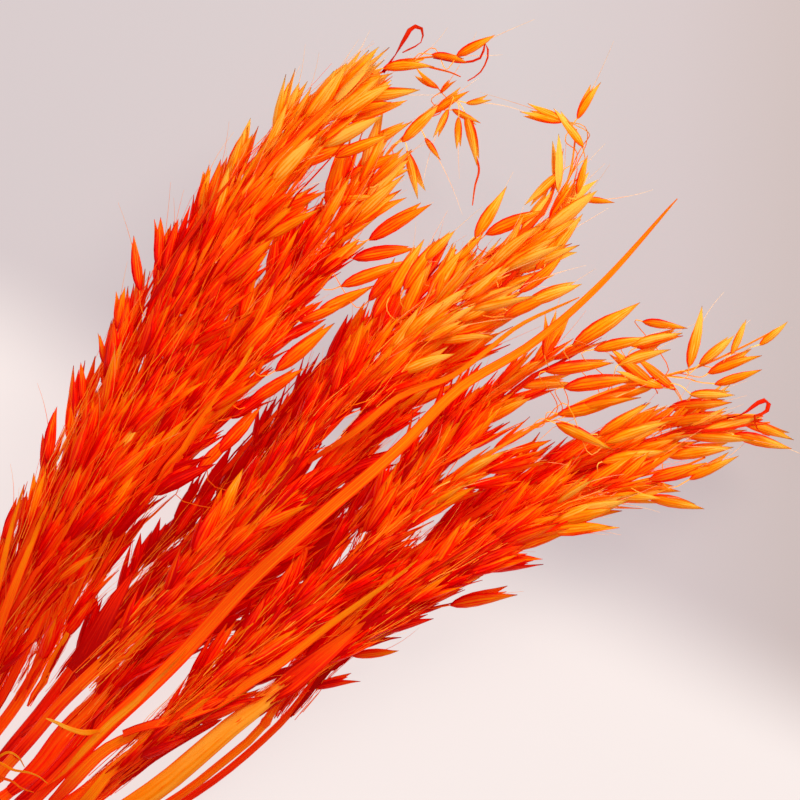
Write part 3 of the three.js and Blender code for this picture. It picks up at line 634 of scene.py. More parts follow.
def mesh_piece(name, node, slot, finishes, points, veins, dyes, corners, totals, finish_of, bake):
    """The mesh in metres, in the frame of the solids, in place of the node."""
    points[:, 2] = settled(points[:, 2])
    points = points / 1000 + [*tie_middle(), 0]
    mesh = bpy.data.meshes.new(name)
    mesh.vertices.add(len(points))
    mesh.loops.add(len(corners))
    mesh.polygons.add(len(totals))
    mesh.vertices.foreach_set("co", points.astype(np.float32).ravel())
    starts = np.r_[0, np.cumsum(totals)[:-1]]
    for key, values in (("loop_start", starts), ("vertices", corners), ("material_index", finish_of)):
        mesh.polygons.foreach_set(key, values.astype(np.int32))
    mesh.update(calc_edges=True)
    mesh.attributes.new("vein", "FLOAT_VECTOR", "POINT").data.foreach_set("vector", veins.ravel())
    mesh.attributes.new("dye", "FLOAT", "POINT").data.foreach_set("value", dyes)
    mesh.uv_layers.new(name="OFBake").data.foreach_set("uv", bake.ravel())
    for finish in finishes:
        mesh.materials.append(finish)
    mesh.shade_smooth()
    mesh.set_sharp_from_angle(angle=math.radians(SHARP_FROM))
    piece = stand(name, mesh)
    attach(piece, "root")
    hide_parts(node)


def height_at(stem, x):
    """Height of a stem's middle line above a point this far past the tie."""
    layer = LAYERS[stem["layer"]]
    lift = (stem["lane"] - layer["slot"]) * ease((x - STRAIGHT_THROUGH_TIE) / LIFT_LENGTH)
    settle = (layer["tail"] - layer["slot"]) * ease((-x - STRAIGHT_THROUGH_TIE) / LIFT_LENGTH)
    nod = NOD_DROP * (np.maximum(0, x - NOD_START) / NOD_LENGTH) ** 2
    return layer["slot"] + lift + settle - nod


def stem_line(stem):
    """Middle line of a whole stem, from its cut end to the tip of its head."""
    y = (stem["column"] - (STEMS_WIDE - 1) / 2) * STEM_PITCH
    held = [(stem["cut"], y * TAIL_SPREAD), (-STRAIGHT_THROUGH_TIE, y), (STRAIGHT_THROUGH_TIE, y)]
    plan = Line(spline([(px, py, 0) for px, py in held + stem["way"]]))
    points = plan.at(np.linspace(0, plan.length, LINE_SAMPLES + 1))
    points[:, 2] = height_at(stem, points[:, 0])
    return Line(spline(points))


def fullness(stem, t):
    """How full a head is, from 0 to 1, at a share of its length."""
    tip = ease((t - FULL_TO) / (1 - FULL_TO))
    return lerp(FOOT_SHARE, 1, ease(t / FULL_FROM)) * lerp(1, stem["tip_share"], tip)


def outline(s):
    """Half width of a husk as a share of its widest place, which is at about 0.4 of its length: a sine
    arch that leans to the foot, drawn out to a long point."""
    arch = np.maximum(np.sin(math.pi * s**0.75), 0.0) ** 0.95
    return arch * (1.05 - 0.12 * s) + 0.1 * (1 - s) ** 4 + 0.012


def culm(sheaf, stem, line, plume_from):
    """The stalk as one tube from inside the hollow of its cut end, out round the cut, over the knees and
    on into the head, where it thins to the rachis. A knee swells by a bell curve."""
    radius = stem["culm_radius"]
    knees = [line.place_of(x) for x in stem["knees"]]
    close = np.add.outer(knees, np.linspace(-1, 1, KNEE_RINGS) * KNEE_HALF_LENGTH).ravel()
    places = np.sort(np.r_[0, CUT_EDGE[0], np.arange(CULM_STEP, line.length, CULM_STEP), close])
    swell = sum(np.exp(-((places - knee) / KNEE_SPREAD) ** 2) for knee in knees)
    t = np.clip((places - plume_from) / (line.length - plume_from), 0, 1)
    width = np.where(t > 0, lerp(*RACHIS_RADIUS, t), radius + KNEE_RISE * swell)
    width[0] -= CUT_EDGE[1]
    inner = radius - CULM_WALL
    places = np.r_[HOLLOW_DEPTH, HOLLOW_DEPTH - 1, 1, 0, places]
    width = np.r_[HOLLOW_END_RADIUS, inner, inner, inner, width]
    at, _, side, top = line.frame(places)
    rings = tubes(at[None], side[None], top[None], width[None], width[None], CULM_SIDES)
    share = np.clip(places / line.length, 0, 1)
    sheaf.add(rings, round_trip(CULM_SIDES) * CULM_VEINS, places, share, [CULM_DYE + stem["pale"]], STRAW)


def sheath(sheaf, stem, line):
    """The leaf sheath under the head, wrapped round the stalk so that one edge lies over the other: a tube
    whose radius shrinks round it by the lap and steps back at the edge. A sine arch brings it in to the
    stalk at both ends."""
    shape = stem.get("sheath", {"from": stem["plume_from"] - SHEATH_LENGTH, **SHEATH})
    share = np.linspace(0, 1, SHEATH_RINGS)
    start, end = (line.place_of(x) for x in (shape["from"], stem["plume_from"]))
    places = lerp(start - SHEATH_TAPER, end + SHEATH_TAPER, share)
    swell = np.sin(math.pi * share) ** 0.7
    at, _, side, top = line.frame(places)
    wide, high = (
        lerp(stem["culm_radius"] + SHEATH_ROOM[0], shape[half] + SHEATH_ROOM[1], swell)[None]
        for half in ("half_width", "half_height")
    )
    lap = 1 - SHEATH_LAP * np.arange(SHEATH_SIDES) / SHEATH_SIDES
    rings = tubes(at[None], side[None], top[None], wide, high, SHEATH_SIDES)
    rings = at[None, :, None] + (rings - at[None, :, None]) * lap[:, None]
    across = (2 * round_trip(SHEATH_SIDES) - 1) * BLADE_VEINS
    dye = SHEATH_DYE + stem["pale"] + shape.get("pale", 0)
    sheaf.add(rings, across, places, share, [dye], BLADE)


def blade(sheaf, half_width, twist, pale, way):
    """A leaf blade along its own line: widest near its foot and drawn out to a point, arched across, and
    turned about its line by the twist from end to end."""
    line = Line(spline(way))
    t = np.linspace(0, 1, max(BLADE_LEAST_STEPS, round(line.length / BLADE_STEP)) + 1)
    at, _, side, top = line.frame(t * line.length)
    turn = np.radians(twist * (t - 0.5))[:, None]
    across = -(side * np.cos(turn) + top * np.sin(turn))
    out = top * np.cos(turn) - side * np.sin(turn)
    wide = BLADE_TIP + half_width * (1 - t) ** BLADE_POINT * lerp(BLADE_FOOT, 1, ease(t * 4))
    wide = wide[None]
    rings, aside = shells(at[None], across[None], -out[None], wide, BLADE_ARCH * wide, 0 * wide, BLADE_SKIN)
    sheaf.add(rings, aside * BLADE_VEINS, t * line.length, t, [BLADE_DYE + pale], BLADE)


def stalks(sheaf, grown, stalk, rng):
    """Thin curved stalks that leave the stem along it and reach each spikelet in its own direction: cubic
    Bezier curves with a slight wave."""
    root, root_way, foot, heading = (grown[name] for name in ("root", "root_way", "foot", "heading"))
    slack, rings = stalk
    q = np.linspace(0, 1, rings)[:, None]
    reach = np.linalg.norm(foot - root, axis=1)[:, None]
    one, two = root + root_way * reach * slack, foot - heading * reach * slack * 0.8
    a, b, c, d = (1 - q) ** 3, 3 * q * (1 - q) ** 2, 3 * q**2 * (1 - q), q**3
    middle = a * root[:, None] + b * one[:, None] + c * two[:, None] + d * (foot + heading * 0.6)[:, None]
    wave = rng.normal(0, STALK_WAVE * slack, (len(root), 1, 3))
    middle = middle + wave * reach[:, None] * np.sin(2 * math.pi * q)
    width = STALK_RADIUS * (1.15 - 0.3 * q[:, 0] + 0.5 * q[:, 0] ** 8)
    sheaf.add(threads(middle, width), round_trip(3) * 2, q[:, 0] * reach, q[:, 0], grown["dye"], STRAW)


def spikelets(sheaf, grown, rng, stations=HUSK_STATIONS, turn=FINE_TURN, stalk=SHORT_STALK,
              slender=HUSK_SLENDER):
    """Whole spikelets. A husk is a shell along the heading whose two margins start together and part by
    the gape at the tip; the floret is a spindle between them, and the awn leaves its back."""
    foot, heading, roll = grown["foot"], grown["heading"], grown["roll"][:, None]
    scale, gape, dye = grown["scale"], grown["gape"], grown["dye"]
    n = len(foot)
    level = unit(np.cross(heading, UP))
    across = level * np.cos(roll) + np.cross(heading, level) * np.sin(roll)
    opening = np.cross(heading, across)
    length = SPIKELET_LENGTH * scale
    s = np.array(stations)
    shape = outline(s)
    for way, reach in ((-1, 1), (1, SECOND_HUSK)):
        run = length[:, None] * reach * rng.uniform(*HUSK_REACH, (n, 1)) * s
        bend = rng.normal(0, HUSK_BEND, (n, 1, 1)) * (s**2)[:, None]
        middle = foot[:, None] + heading[:, None] * run[..., None] + across[:, None] * bend
        wide = (scale * rng.uniform(slender, HUSK_BROAD, n))[:, None]
        half = 0.5 * SPIKELET_WIDTH * wide * shape
        arch = 0.5 * SPIKELET_DEPTH * wide * (shape - 0.1) * rng.uniform(*HUSK_ARCH, (n, 1))
        lift = gape[:, None] * s**1.6 + HUSK_GAP
        warp = rng.normal(0, HUSK_WARP, (n, 1, 1)) * s[:, None] ** 2
        a = way * (across[:, None] * np.cos(warp) + opening[:, None] * np.sin(warp))
        o = way * (opening[:, None] * np.cos(warp) - across[:, None] * np.sin(warp))
        rings, aside = shells(middle, a, o, half, arch, lift, HUSK_SKIN, turn)
        tint = dye + rng.normal(0, HUSK_DYE_SPREAD, n)
        sheaf.add(rings, aside * HUSK_VEINS / 2, run, s, tint, HUSK)
    s = np.array(FLORET_STATIONS)
    run = length[:, None] * rng.uniform(*FLORET_REACH, (n, 1)) * s
    middle = foot[:, None] + heading[:, None] * run[..., None]
    thick = FLORET_RADIUS * scale[:, None] * np.sin(math.pi * s**0.8) ** 0.8 + 0.12
    rings = tubes(middle, across[:, None], opening[:, None], thick, thick * 0.8, FLORET_SIDES)
    sheaf.add(rings, round_trip(FLORET_SIDES) * 3, run, s, dye + FLORET_PALER, HUSK)
    awned = rng.random(n) < AWN_SHARE
    awns(sheaf, *(each[awned] for each in (foot, heading, across, opening, length, dye)), rng)
    stalks(sheaf, grown, stalk, rng)


def awns(sheaf, foot, heading, across, opening, length, dye, rng):
    """Hair-thin bristles from the back of a floret: straight, then bent outwards, and thinning to a
    point."""
    n = len(foot)
    q = np.linspace(0, 1, 6)
    reach = rng.uniform(*AWN_LENGTH, n)[:, None]
    aside = rng.normal(0, AWN_ASIDE, (n, 1))
    outwards = rng.choice([-1, 1], (n, 1)) * rng.uniform(*AWN_BEND, (n, 1))
    bow = q**1.8 * reach
    middle = (
        foot[:, None]
        + heading[:, None] * (AWN_FROM * length[:, None] + reach * q)[..., None]
        + across[:, None] * (aside * bow)[..., None]
        + opening[:, None] * (outwards * (2 * np.minimum(q, 0.5) + bow))[..., None]
    )
    rings = threads(middle, AWN_RADIUS * (1 - 0.7 * q))
    sheaf.add(rings, np.zeros(3), q * reach, q, dye + AWN_PALER, BRISTLE)


def head(stem, line, plume, t, azimuth, deep, scale, roll, gape, lean, back, rng):
    """Where a head's spikelets start and which way they point, from their share of its length, their turn
    about it and how far out they lie."""
    place = lerp(*plume, t)
    at, along, side, top = line.frame(place)
    out = (ROOT_SPREAD * stem["half_width"] * fullness(stem, t) * deep)[:, None]
    sideways, upwards = np.cos(azimuth)[:, None], np.sin(azimuth)[:, None]
    foot = at + side * out * sideways + top * out * FLATTENING * upwards
    tilt = np.radians((TILT_INNER + TILT_OUTER * deep) * lean)[:, None]
    heading = along * np.cos(tilt) + np.sin(tilt) * (side * sideways + top * FLATTENING * upwards)
    root, root_way, _, _ = line.frame(np.maximum(place - back, plume[0] - ROOT_BACK))
    faded = lerp(*HEAD_DYE, ease((foot[:, 0] - PALE_FROM) / PALE_OVER))
    # Random patches along the head: painted shade in deep red, and painted light that is paler
    painted_patches = np.interp(t, np.linspace(0, 1, LIGHT_AND_SHADE_PATCHES), rng.normal(0, LIGHT_AND_SHADE_SPREAD, LIGHT_AND_SHADE_PATCHES))
    # Painted light and shade: spikelets on top of the head paler, those underneath redder, the outer ones
    # most
    lit = TOP_PAINTED_LIGHT * deep * np.sin(azimuth)
    dye = faded + stem["pale"] + painted_patches + lit + rng.normal(0, DYE_SPREAD, len(t))
    return clear_of_openings(dict(
        foot=foot, heading=unit(heading), roll=roll, scale=scale, gape=gape, dye=dye, root=root,
        root_way=root_way,
    ))


def crosses_opening(points):
    """For rows of points, whether any point of a row lies over an opening, seen from above."""
    x, y, long, wide, direction = OPENINGS.T
    turn = np.radians(direction)
    dx, dy = points[..., 0, None] - x, points[..., 1, None] - y
    along = (dx * np.cos(turn) + dy * np.sin(turn)) / (long + OPENING_MARGIN)
    across = (dy * np.cos(turn) - dx * np.sin(turn)) / (wide + OPENING_MARGIN)
    return (along**2 + across**2 < 1).any((1, 2))


def clear_of_openings(grown):
    """The spikelets whose middle lines cross no opening."""
    reach = SPIKELET_LENGTH * grown["scale"][:, None] * OPENING_PROBES
    clear = ~crosses_opening(grown["foot"][:, None] + grown["heading"][:, None] * reach[..., None])
    return {name: values[clear] for name, values in grown.items()}


def outer_spikelets(stem, line, plume, rng):
    """The spikelets that the solids have too, from the same draws."""
    count = round((plume[1] - plume[0]) / SPIKELET_EVERY)
    jitter, depth, size, roll, gape, lean = numbers(stem["seed"], 6 * count).reshape(count, 6).T
    turn = np.arange(count)
    return head(
        stem, line, plume, (turn + 0.5) / count,
        np.radians(turn * GOLDEN_ANGLE + (jitter - 0.5) * AZIMUTH_JITTER),
        lerp(OUTER_FROM, 1, depth), lerp(*SCALE_RANGE, size), np.radians(roll * 180),
        lerp(*GAPE_RANGE, gape), lerp(*LEAN_RANGE, lean), lerp(*STALK_BACK, depth), rng,
    )


def inner_spikelets(stem, line, plume, rng):
    """More spikelets, that fill the head between the outer ones and the rachis. They thin out towards the
    tip as the head does."""
    count = round(stem["crowd"] * INNER_FOR_ONE * (plume[1] - plume[0]) / SPIKELET_EVERY)
    t = np.arange(count) / count
    turn = np.arange(count)[rng.random(count) < fullness(stem, t) ** INNER_THINNING]
    t, count = t[turn], len(turn)
    jitter = rng.uniform(-INNER_JITTER, INNER_JITTER, count)
    deep, scale, roll, gape, lean, back = (rng.uniform(*limits, count) for limits in (
        INNER_DEPTH, INNER_SCALE, (0, math.pi), INNER_GAPE, INNER_LEAN, STALK_BACK,
    ))
    azimuth = np.radians(turn * GOLDEN_ANGLE + INNER_TURN + jitter)
    return head(stem, line, plume, t, azimuth, deep, scale, roll, gape, lean, back, rng)


def along_head(stem, line, plume, every, length, drift, q, rng):
    """Lines that run along a head at its surface: each keeps its turn about the head, drifts a little
    across it, and follows its fullness. Returns those that cross no opening, with the way out of the head
    there and their lengths."""
    count = round((plume[1] - plume[0]) / every * stem["crowd"])
    reach = rng.uniform(*length, (count, 1))
    start = plume[0] - OVERRUN + rng.random((count, 1)) ** 1.4 * (plume[1] - plume[0] - OVERRUN)
    place = np.minimum(start + reach * q, plume[1] + OVERRUN)
    t = np.clip((place - plume[0]) / (plume[1] - plume[0]), 0, 1)
    turn = rng.uniform(-RUN_BELOW, math.pi + RUN_BELOW, (count, 1)) + rng.normal(0, drift, (count, 1)) * q
    deep = rng.uniform(*RUN_DEPTH, (count, 1)) + rng.uniform(*RUN_PARTING, (count, 1)) * q**2
    out = RUN_CLEAR + ROOT_SPREAD * stem["half_width"] * fullness(stem, t) * deep
    at, _, side, top = line.frame(place)
    aside = side * np.cos(turn)[..., None]
    upward = top * np.sin(turn)[..., None]
    middle = at + aside * out[..., None] + upward * (1 + FLATTENING * out)[..., None]
    middle = middle + rng.normal(0, RUN_WAVE, middle.shape) * (q * (1 - q) * 4)[:, None]
    clear = ~crosses_opening(middle)
    return middle[clear], (aside + upward)[clear], reach[clear]


def strands(sheaf, stem, line, plume, rng):
    """Thin branches and threads of the head."""
    q = np.linspace(0, 1, 8)
    middle, _, reach = along_head(stem, line, plume, STRAND_EVERY, STRAND_LENGTH, STRAND_DRIFT, q, rng)
    count = len(middle)
    rings = threads(middle, rng.uniform(*STRAND_RADIUS, (count, 1)) * (1 - 0.75 * q))
    dye = rng.uniform(*STRAND_DYE, count)
    sheaf.add(rings, round_trip(3) * 2, q * reach, STRAND_SHARE, dye, STRAW)


def shreds(sheaf, stem, line, plume, rng):
    """Long narrow strips of torn sheath and leaf, laid along the head."""
    q = np.linspace(0, 1, 9)
    middle, out, reach = along_head(stem, line, plume, SHRED_EVERY, SHRED_LENGTH, SHRED_DRIFT, q, rng)
    count = len(middle)
    along = unit(np.gradient(middle, axis=1))
    across = unit(np.cross(out + rng.normal(0, 0.5, (count, 1, 3)), along))
    wide = 0.1 + rng.uniform(*SHRED_HALF_WIDTH, (count, 1)) * (1 - q) ** 0.5 * lerp(0.2, 1, ease(q * 5))
    rings, aside = shells(middle, across, np.cross(along, across), wide, SHRED_ARCH * wide, 0 * wide,
                          SHRED_SKIN, PLAIN_TURN)
    dye = rng.uniform(*SHRED_DYE, count) + stem["pale"]
    sheaf.add(rings, aside * BLADE_VEINS, q * reach, q, dye, BLADE)


def loose_spikelets(stem, line, rng):
    """Those that hang away from the head on longer stalks."""
    x, y, turn, size = np.array(stem["loose"], float).T
    end = line.length - (TIP_CUT if "bare_tip" in stem else HEAD_END)
    place = np.array([min(line.place_of(px - LOOSE_STALK_BACK), end) for px in x])
    root, root_way, _, _ = line.frame(place)
    turn = np.radians(turn)
    heading = unit(np.stack([np.cos(turn), np.sin(turn), np.full(len(x), LOOSE_DROOP)], -1))
    dye = lerp(*LOOSE_DYE, ease((x - PALE_FROM) / PALE_OVER)) + rng.uniform(*LOOSE_DYE_SPREAD, len(x))
    return dict(
        foot=np.stack([x, y, height_at(stem, x) + LOOSE_LIFT], -1), heading=heading,
        roll=np.full(len(x), math.radians(LOOSE_ROLL)), scale=size,
        gape=np.full(len(x), LOOSE_GAPE), dye=dye, root=root, root_way=root_way,
    )


def oat_stem(stem, blades, finishes):
    """A whole stem: stalk, sheath, leaf blades and head."""
    rng = np.random.default_rng(stem["seed"])
    sheaf = Sheaf(finishes)
    line = stem_line(stem)
    plume = (line.place_of(stem["plume_from"]), line.length - stem.get("bare_tip", HEAD_END))
    culm(sheaf, stem, line, plume[0])
    sheath(sheaf, stem, line)
    for one in blades:
        blade(sheaf, *one)
    spikelets(sheaf, outer_spikelets(stem, line, plume, rng), rng)
    spikelets(sheaf, inner_spikelets(stem, line, plume, rng), rng, INNER_STATIONS, PLAIN_TURN,
              slender=INNER_SLENDER)
    strands(sheaf, stem, line, plume, rng)
    shreds(sheaf, stem, line, plume, rng)
    if stem["loose"]:
        spikelets(sheaf, loose_spikelets(stem, line, rng), rng, stalk=LONG_STALK)
    sheaf.piece("dried_" + stem["node"], stem["node"], "dyed_oat")


def twine_loop():
    """One turn of twine round the block of stems: a rounded rectangle, from the middle of its top."""
    y, low, high = (STEMS_WIDE - 1) / 2 * STEM_PITCH, LAYERS["low"]["slot"], LAYERS["top"]["slot"]
    reach = CULM_RADIUS + TIE_GAP + TWINE_RADIUS
    points = [(0, 0, high + reach)]
    for start, (cy, cz) in zip((90, 180, 270, 0), ((-y, high), (-y, low), (y, low), (y, high))):
        turn = np.radians(start + np.linspace(0, 90, CORNER_POINTS))
        points += [(0, cy + reach * math.cos(a), cz + reach * math.sin(a)) for a in turn]
    return np.array(points + [points[0]])


def plied(sheaf, points, dye, level=np.array([1.0, 0, 0]), fray=0.0):
    """Twine of two plies that wind round its middle line, once in PLY_TWIST. They part towards the end by
    the fray."""
    line = Line(points)
    places = np.linspace(0, line.length, max(8, round(line.length / PLY_STEP)))
    at, _, side, top = line.frame(places, level)
    apart = PLY_RADIUS * (PLY_APART + fray * ease(places / line.length * 4 - 3))
    for phase in (0, math.pi):
        turn = 2 * math.pi * places / PLY_TWIST + phase
        middle = at + (apart * np.cos(turn))[:, None] * side + (apart * np.sin(turn))[:, None] * top
        wide = np.full((1, len(places)), PLY_RADIUS)
        rings = tubes(middle[None], side[None], top[None], wide, wide, PLY_SIDES)
        across = round_trip(PLY_SIDES) * 4 + 6 * turn[:, None]
        sheaf.add(rings, across, places, places / line.length, [dye], 0)


def loose_fibres(sheaf, points, count, rng):
    """Short fibres that stand off the twine."""
    line = Line(points)
    at, along, side, top = line.frame(rng.uniform(0, line.length, count), np.array([1.0, 0.02, 0.01]))
    turn = rng.uniform(0, 2 * math.pi, (count, 1))
    out = side * np.cos(turn) + top * np.sin(turn)
    way = unit(along * rng.uniform(-1, 1, (count, 1)) + out * rng.uniform(0.5, 1, (count, 1)))
    q = np.array([0, 0.5, 1.0])
    reach = rng.uniform(*FIBRE_LENGTH, (count, 1))
    middle = at[:, None] + out[:, None] * FIBRE_FROM + way[:, None] * (reach * q)[..., None]
    middle = middle + along[:, None] * (reach * q**2 * rng.uniform(-0.5, 0.5, (count, 1)))[..., None]
    wide = FIBRE_RADIUS * (1.2 - q) * np.ones((count, 1))
    across = unit(np.cross(way, along + 0.01))
    rings = tubes(middle, across[:, None], np.cross(way, across)[:, None], wide, wide, 3)
    sheaf.add(rings, np.zeros(3), reach * q, q, rng.uniform(*FIBRE_DYE, count), 0)


def twine_tie(finish):
    """Four turns of jute twine round the stems, a knot on top and two trimmed ends. The knot's line is a
    trefoil, and the twine ends start from it."""
    rng = np.random.default_rng(7)
    sheaf = Sheaf([finish])
    loop = Line(twine_loop())
    run = np.linspace(0, TWINE_TURNS * loop.length, COIL_POINTS)
    coil = loop.at(run % loop.length)
    coil[:, 0] = (run / run[-1] - 0.5) * (TWINE_TURNS - 1) * TWINE_PITCH
    plied(sheaf, coil, TWINE_DYE)
    loose_fibres(sheaf, coil, COIL_FIBRES, rng)
    ring_top = LAYERS["top"]["slot"] + CULM_RADIUS + TIE_GAP + 2 * TWINE_RADIUS
    t = np.linspace(0, 2 * math.pi, KNOT_POINTS)
    knot = np.stack([
        KNOT_SIZE[0] * (np.sin(t) + KNOT_LOOPS * np.sin(2 * t)),
        KNOT_SIZE[1] * (np.cos(t) - KNOT_LOOPS * np.cos(2 * t)),
        KNOT_LIFT + ring_top - KNOT_SIZE[2] * np.sin(3 * t),
    ], -1)
    plied(sheaf, knot, KNOT_DYE, np.array([0.2, 0.3, 1.0]))
    for way in (1, -1):
        end = spline([(px * way, py * way, ring_top + pz) for px, py, pz in TWINE_END], END_POINTS)
        plied(sheaf, end, KNOT_DYE, UP, END_FRAY)
        loose_fibres(sheaf, end, END_FIBRES, rng)
    sheaf.piece("jute_tie", "twine_tie", "jute_twine")


def paint(code):
    """Linear colour of an sRGB hex value."""
    shares = [int(code[i : i + 2], 16) / 255 for i in (0, 2, 4)]
    return tuple(c / 12.92 if c <= 0.04045 else ((c + 0.055) / 1.055) ** 2.4 for c in shares) + (1.0,)


def add(tree, kind, inputs=None, stops=None, **settings):
    """Adds a node, and sets its properties, its inputs or what they link to, and a ramp's colours. A node
    as an input stands for its first output."""
    node = tree.nodes.new(kind)
    for name, value in settings.items():
        setattr(node, name, value)
    for key, value in (inputs or {}).items():
        if isinstance(value, bpy.types.Node):
            value = value.outputs[0]
        if isinstance(value, bpy.types.NodeSocket):
            tree.links.new(value, node.inputs[key])
        else:
            node.inputs[key].default_value = value
    if stops:
        ramp = node.color_ramp.elements
        for place, code in stops[2:]:
            ramp.new(place)
        for one, (place, code) in zip(ramp, sorted(stops)):
            one.position = place
            one.color = paint(code)
    return node


def empty_material(name):
    material = bpy.data.materials.new(name)
    material.use_nodes = True
    material.node_tree.nodes.clear()
    return material, material.node_tree


def fibrous(tree, scale, roughness):
    """What every surface is painted by: across in veins, share of the length, dye, and the streaks of its
    fibres, which are noise read at across, mm along and dye, each times its scale."""
    vein = add(tree, "ShaderNodeAttribute", attribute_name="vein")
    across, along, share = add(tree, "ShaderNodeSeparateXYZ", {0: vein.outputs["Vector"]}).outputs
    dye = add(tree, "ShaderNodeAttribute", attribute_name="dye").outputs["Fac"]
    spot = add(tree, "ShaderNodeCombineXYZ", {0: across, 1: along, 2: dye})
    spot = add(tree, "ShaderNodeVectorMath", {0: spot, 1: scale}, operation="MULTIPLY")
    streaks = add(tree, "ShaderNodeTexNoise", {
        "Vector": spot, "Scale": 1.0, "Detail": 4.0, "Roughness": roughness,
    })
    return across, share, dye, streaks


def plant_finish(name, stops, streak, lines, line_depth, edge, roughness, glow, relief):
    """Dyed dried plant skin, with streaks across and along it by the scale of streak. Its veins are a sine
    wave raised to the power of lines. The dye lies deeper in the veins, towards the margins, which are at
    edge, and at the foot, and thin places let light through."""
    material, tree = empty_material(name)
    across, share, dye, streaks = fibrous(tree, (*streak, STREAK_CHANGE), 0.65)
    turn = add(tree, "ShaderNodeMath", {0: across, 1: 2 * math.pi}, operation="MULTIPLY")
    wave = add(tree, "ShaderNodeMath", {0: turn}, operation="SINE")
    wave = add(tree, "ShaderNodeMath", {0: wave, 1: 0.5, 2: 0.5}, operation="MULTIPLY_ADD")
    vein = add(tree, "ShaderNodeMath", {0: wave, 1: lines}, operation="POWER")
    aside = add(tree, "ShaderNodeMath", {0: across}, operation="ABSOLUTE")
    shifts = [(streaks, STREAK_SHIFT), (vein, -line_depth)]
    for value, start, end, shift in (
        (aside, edge - 1, edge, MARGIN_SHIFT), (share, *FOOT_RANGE, FOOT_SHIFT),
        (share, *TIP_RANGE, TIP_SHIFT),
    ):
        shifts.append((add(tree, "ShaderNodeMapRange", {
            "Value": value, "From Min": start, "From Max": end,
        }, interpolation_type="SMOOTHSTEP"), shift))
    amount = add(tree, "ShaderNodeMath", {0: dye, 1: STREAK_SHIFT / 2}, operation="SUBTRACT")
    for part, shift in shifts:
        amount = add(tree, "ShaderNodeMath", {0: part, 1: shift, 2: amount}, operation="MULTIPLY_ADD")
    colour = add(tree, "ShaderNodeValToRGB", {0: amount}, stops=stops)
    height = add(tree, "ShaderNodeMath", {0: vein, 1: streaks}, operation="ADD")
    bump = add(tree, "ShaderNodeBump", {"Height": height, "Strength": relief, "Distance": 0.00012})
    # The emission is the painted red glow, which lifts the shade of every plant surface
    skin = add(tree, "ShaderNodeBsdfPrincipled", {
        "Base Color": colour, "Roughness": roughness, "IOR": 1.45, "Specular IOR Level": 0.1,
        "Normal": bump, "Emission Color": paint(PAINTED_RED_GLOW[0]), "Emission Strength": PAINTED_RED_GLOW[1],
    })
    through = add(tree, "ShaderNodeBsdfTranslucent", {"Color": colour, "Normal": bump})
    mixed = add(tree, "ShaderNodeMixShader", {0: glow, 1: skin, 2: through})
    add(tree, "ShaderNodeOutputMaterial", {0: mixed})
    return material


def papery_husk():
    """Dyed, air-dried oat husk. It is as thin as paper and slightly glossy, with four or five raised
    veins, so it glows against the light and shows darker lines lengthwise."""
    stops = [(0.0, "DC0000"), (1.0, "FFDA58"), (0.14, "FF1600"), (0.32, "FF4400"), (0.46, "FF7600"),
             (0.62, "FF9E00"), (0.8, "FFBA0C")]
    return plant_finish("dyed papery oat husk", stops, streak=(0.9, 0.08), lines=2.0, line_depth=0.24,
                        edge=HUSK_VEINS / 2, roughness=0.34, glow=0.42, relief=0.6)


def oat_straw():
    """Dyed oat straw: a smooth, hard and satin stalk with fine fibres along it, and no margins."""
    stops = [(0.0, "C80800"), (1.0, "FFCC58"), (0.25, "FF3400"), (0.5, "FF7000"), (0.78, "FFA21A")]
    return plant_finish("dyed oat straw", stops, streak=(1.2, 0.04), lines=1.5, line_depth=0.12,
                        edge=90.0, roughness=0.38, glow=0.15, relief=0.4)


def leaf_blade():
    """Dyed dried leaf: matt and fibrous, with close parallel veins, and thin enough to let light by."""
    stops = [(0.0, "C80400"), (1.0, "FFC83C"), (0.25, "FF3000"), (0.5, "FF6C00"), (0.8, "FFA800")]
    return plant_finish("dyed dried oat leaf", stops, streak=(1.6, 0.03), lines=1.5, line_depth=0.1,
                        edge=BLADE_VEINS, roughness=0.5, glow=0.35, relief=0.8)


def awn_bristle():
    """Dyed awn: a smooth bristle without veins, thinner than the dye goes deep, so it is pale and clear."""
    stops = [(0.0, "F04000"), (1.0, "FFE0A0"), (0.4, "FF7A00"), (0.7, "FFB030")]
    return plant_finish("dyed oat bristle", stops, streak=(1.0, 0.2), lines=1.0, line_depth=0.0,
                        edge=90.0, roughness=0.4, glow=0.4, relief=0.1)


def jute():
    """Plain jute twine: matt golden brown fibre, laid in plies, lighter where single fibres catch light."""
    material, tree = empty_material("twisted jute twine")
    fibre = fibrous(tree, (2.5, 0.35, 1), 0.7)[-1]
    colour = add(tree, "ShaderNodeValToRGB", {0: fibre}, stops=[
        (0.25, "6E5232"), (0.8, "D6B888"), (0.5, "A9835A"),
    ])
    bump = add(tree, "ShaderNodeBump", {"Height": fibre, "Strength": 0.9, "Distance": 0.0002})
    skin = add(tree, "ShaderNodeBsdfPrincipled", {
        "Base Color": colour, "Roughness": 0.9, "Normal": bump, "Sheen Weight": 0.2,
    })
    add(tree, "ShaderNodeOutputMaterial", {0: skin})
    return material


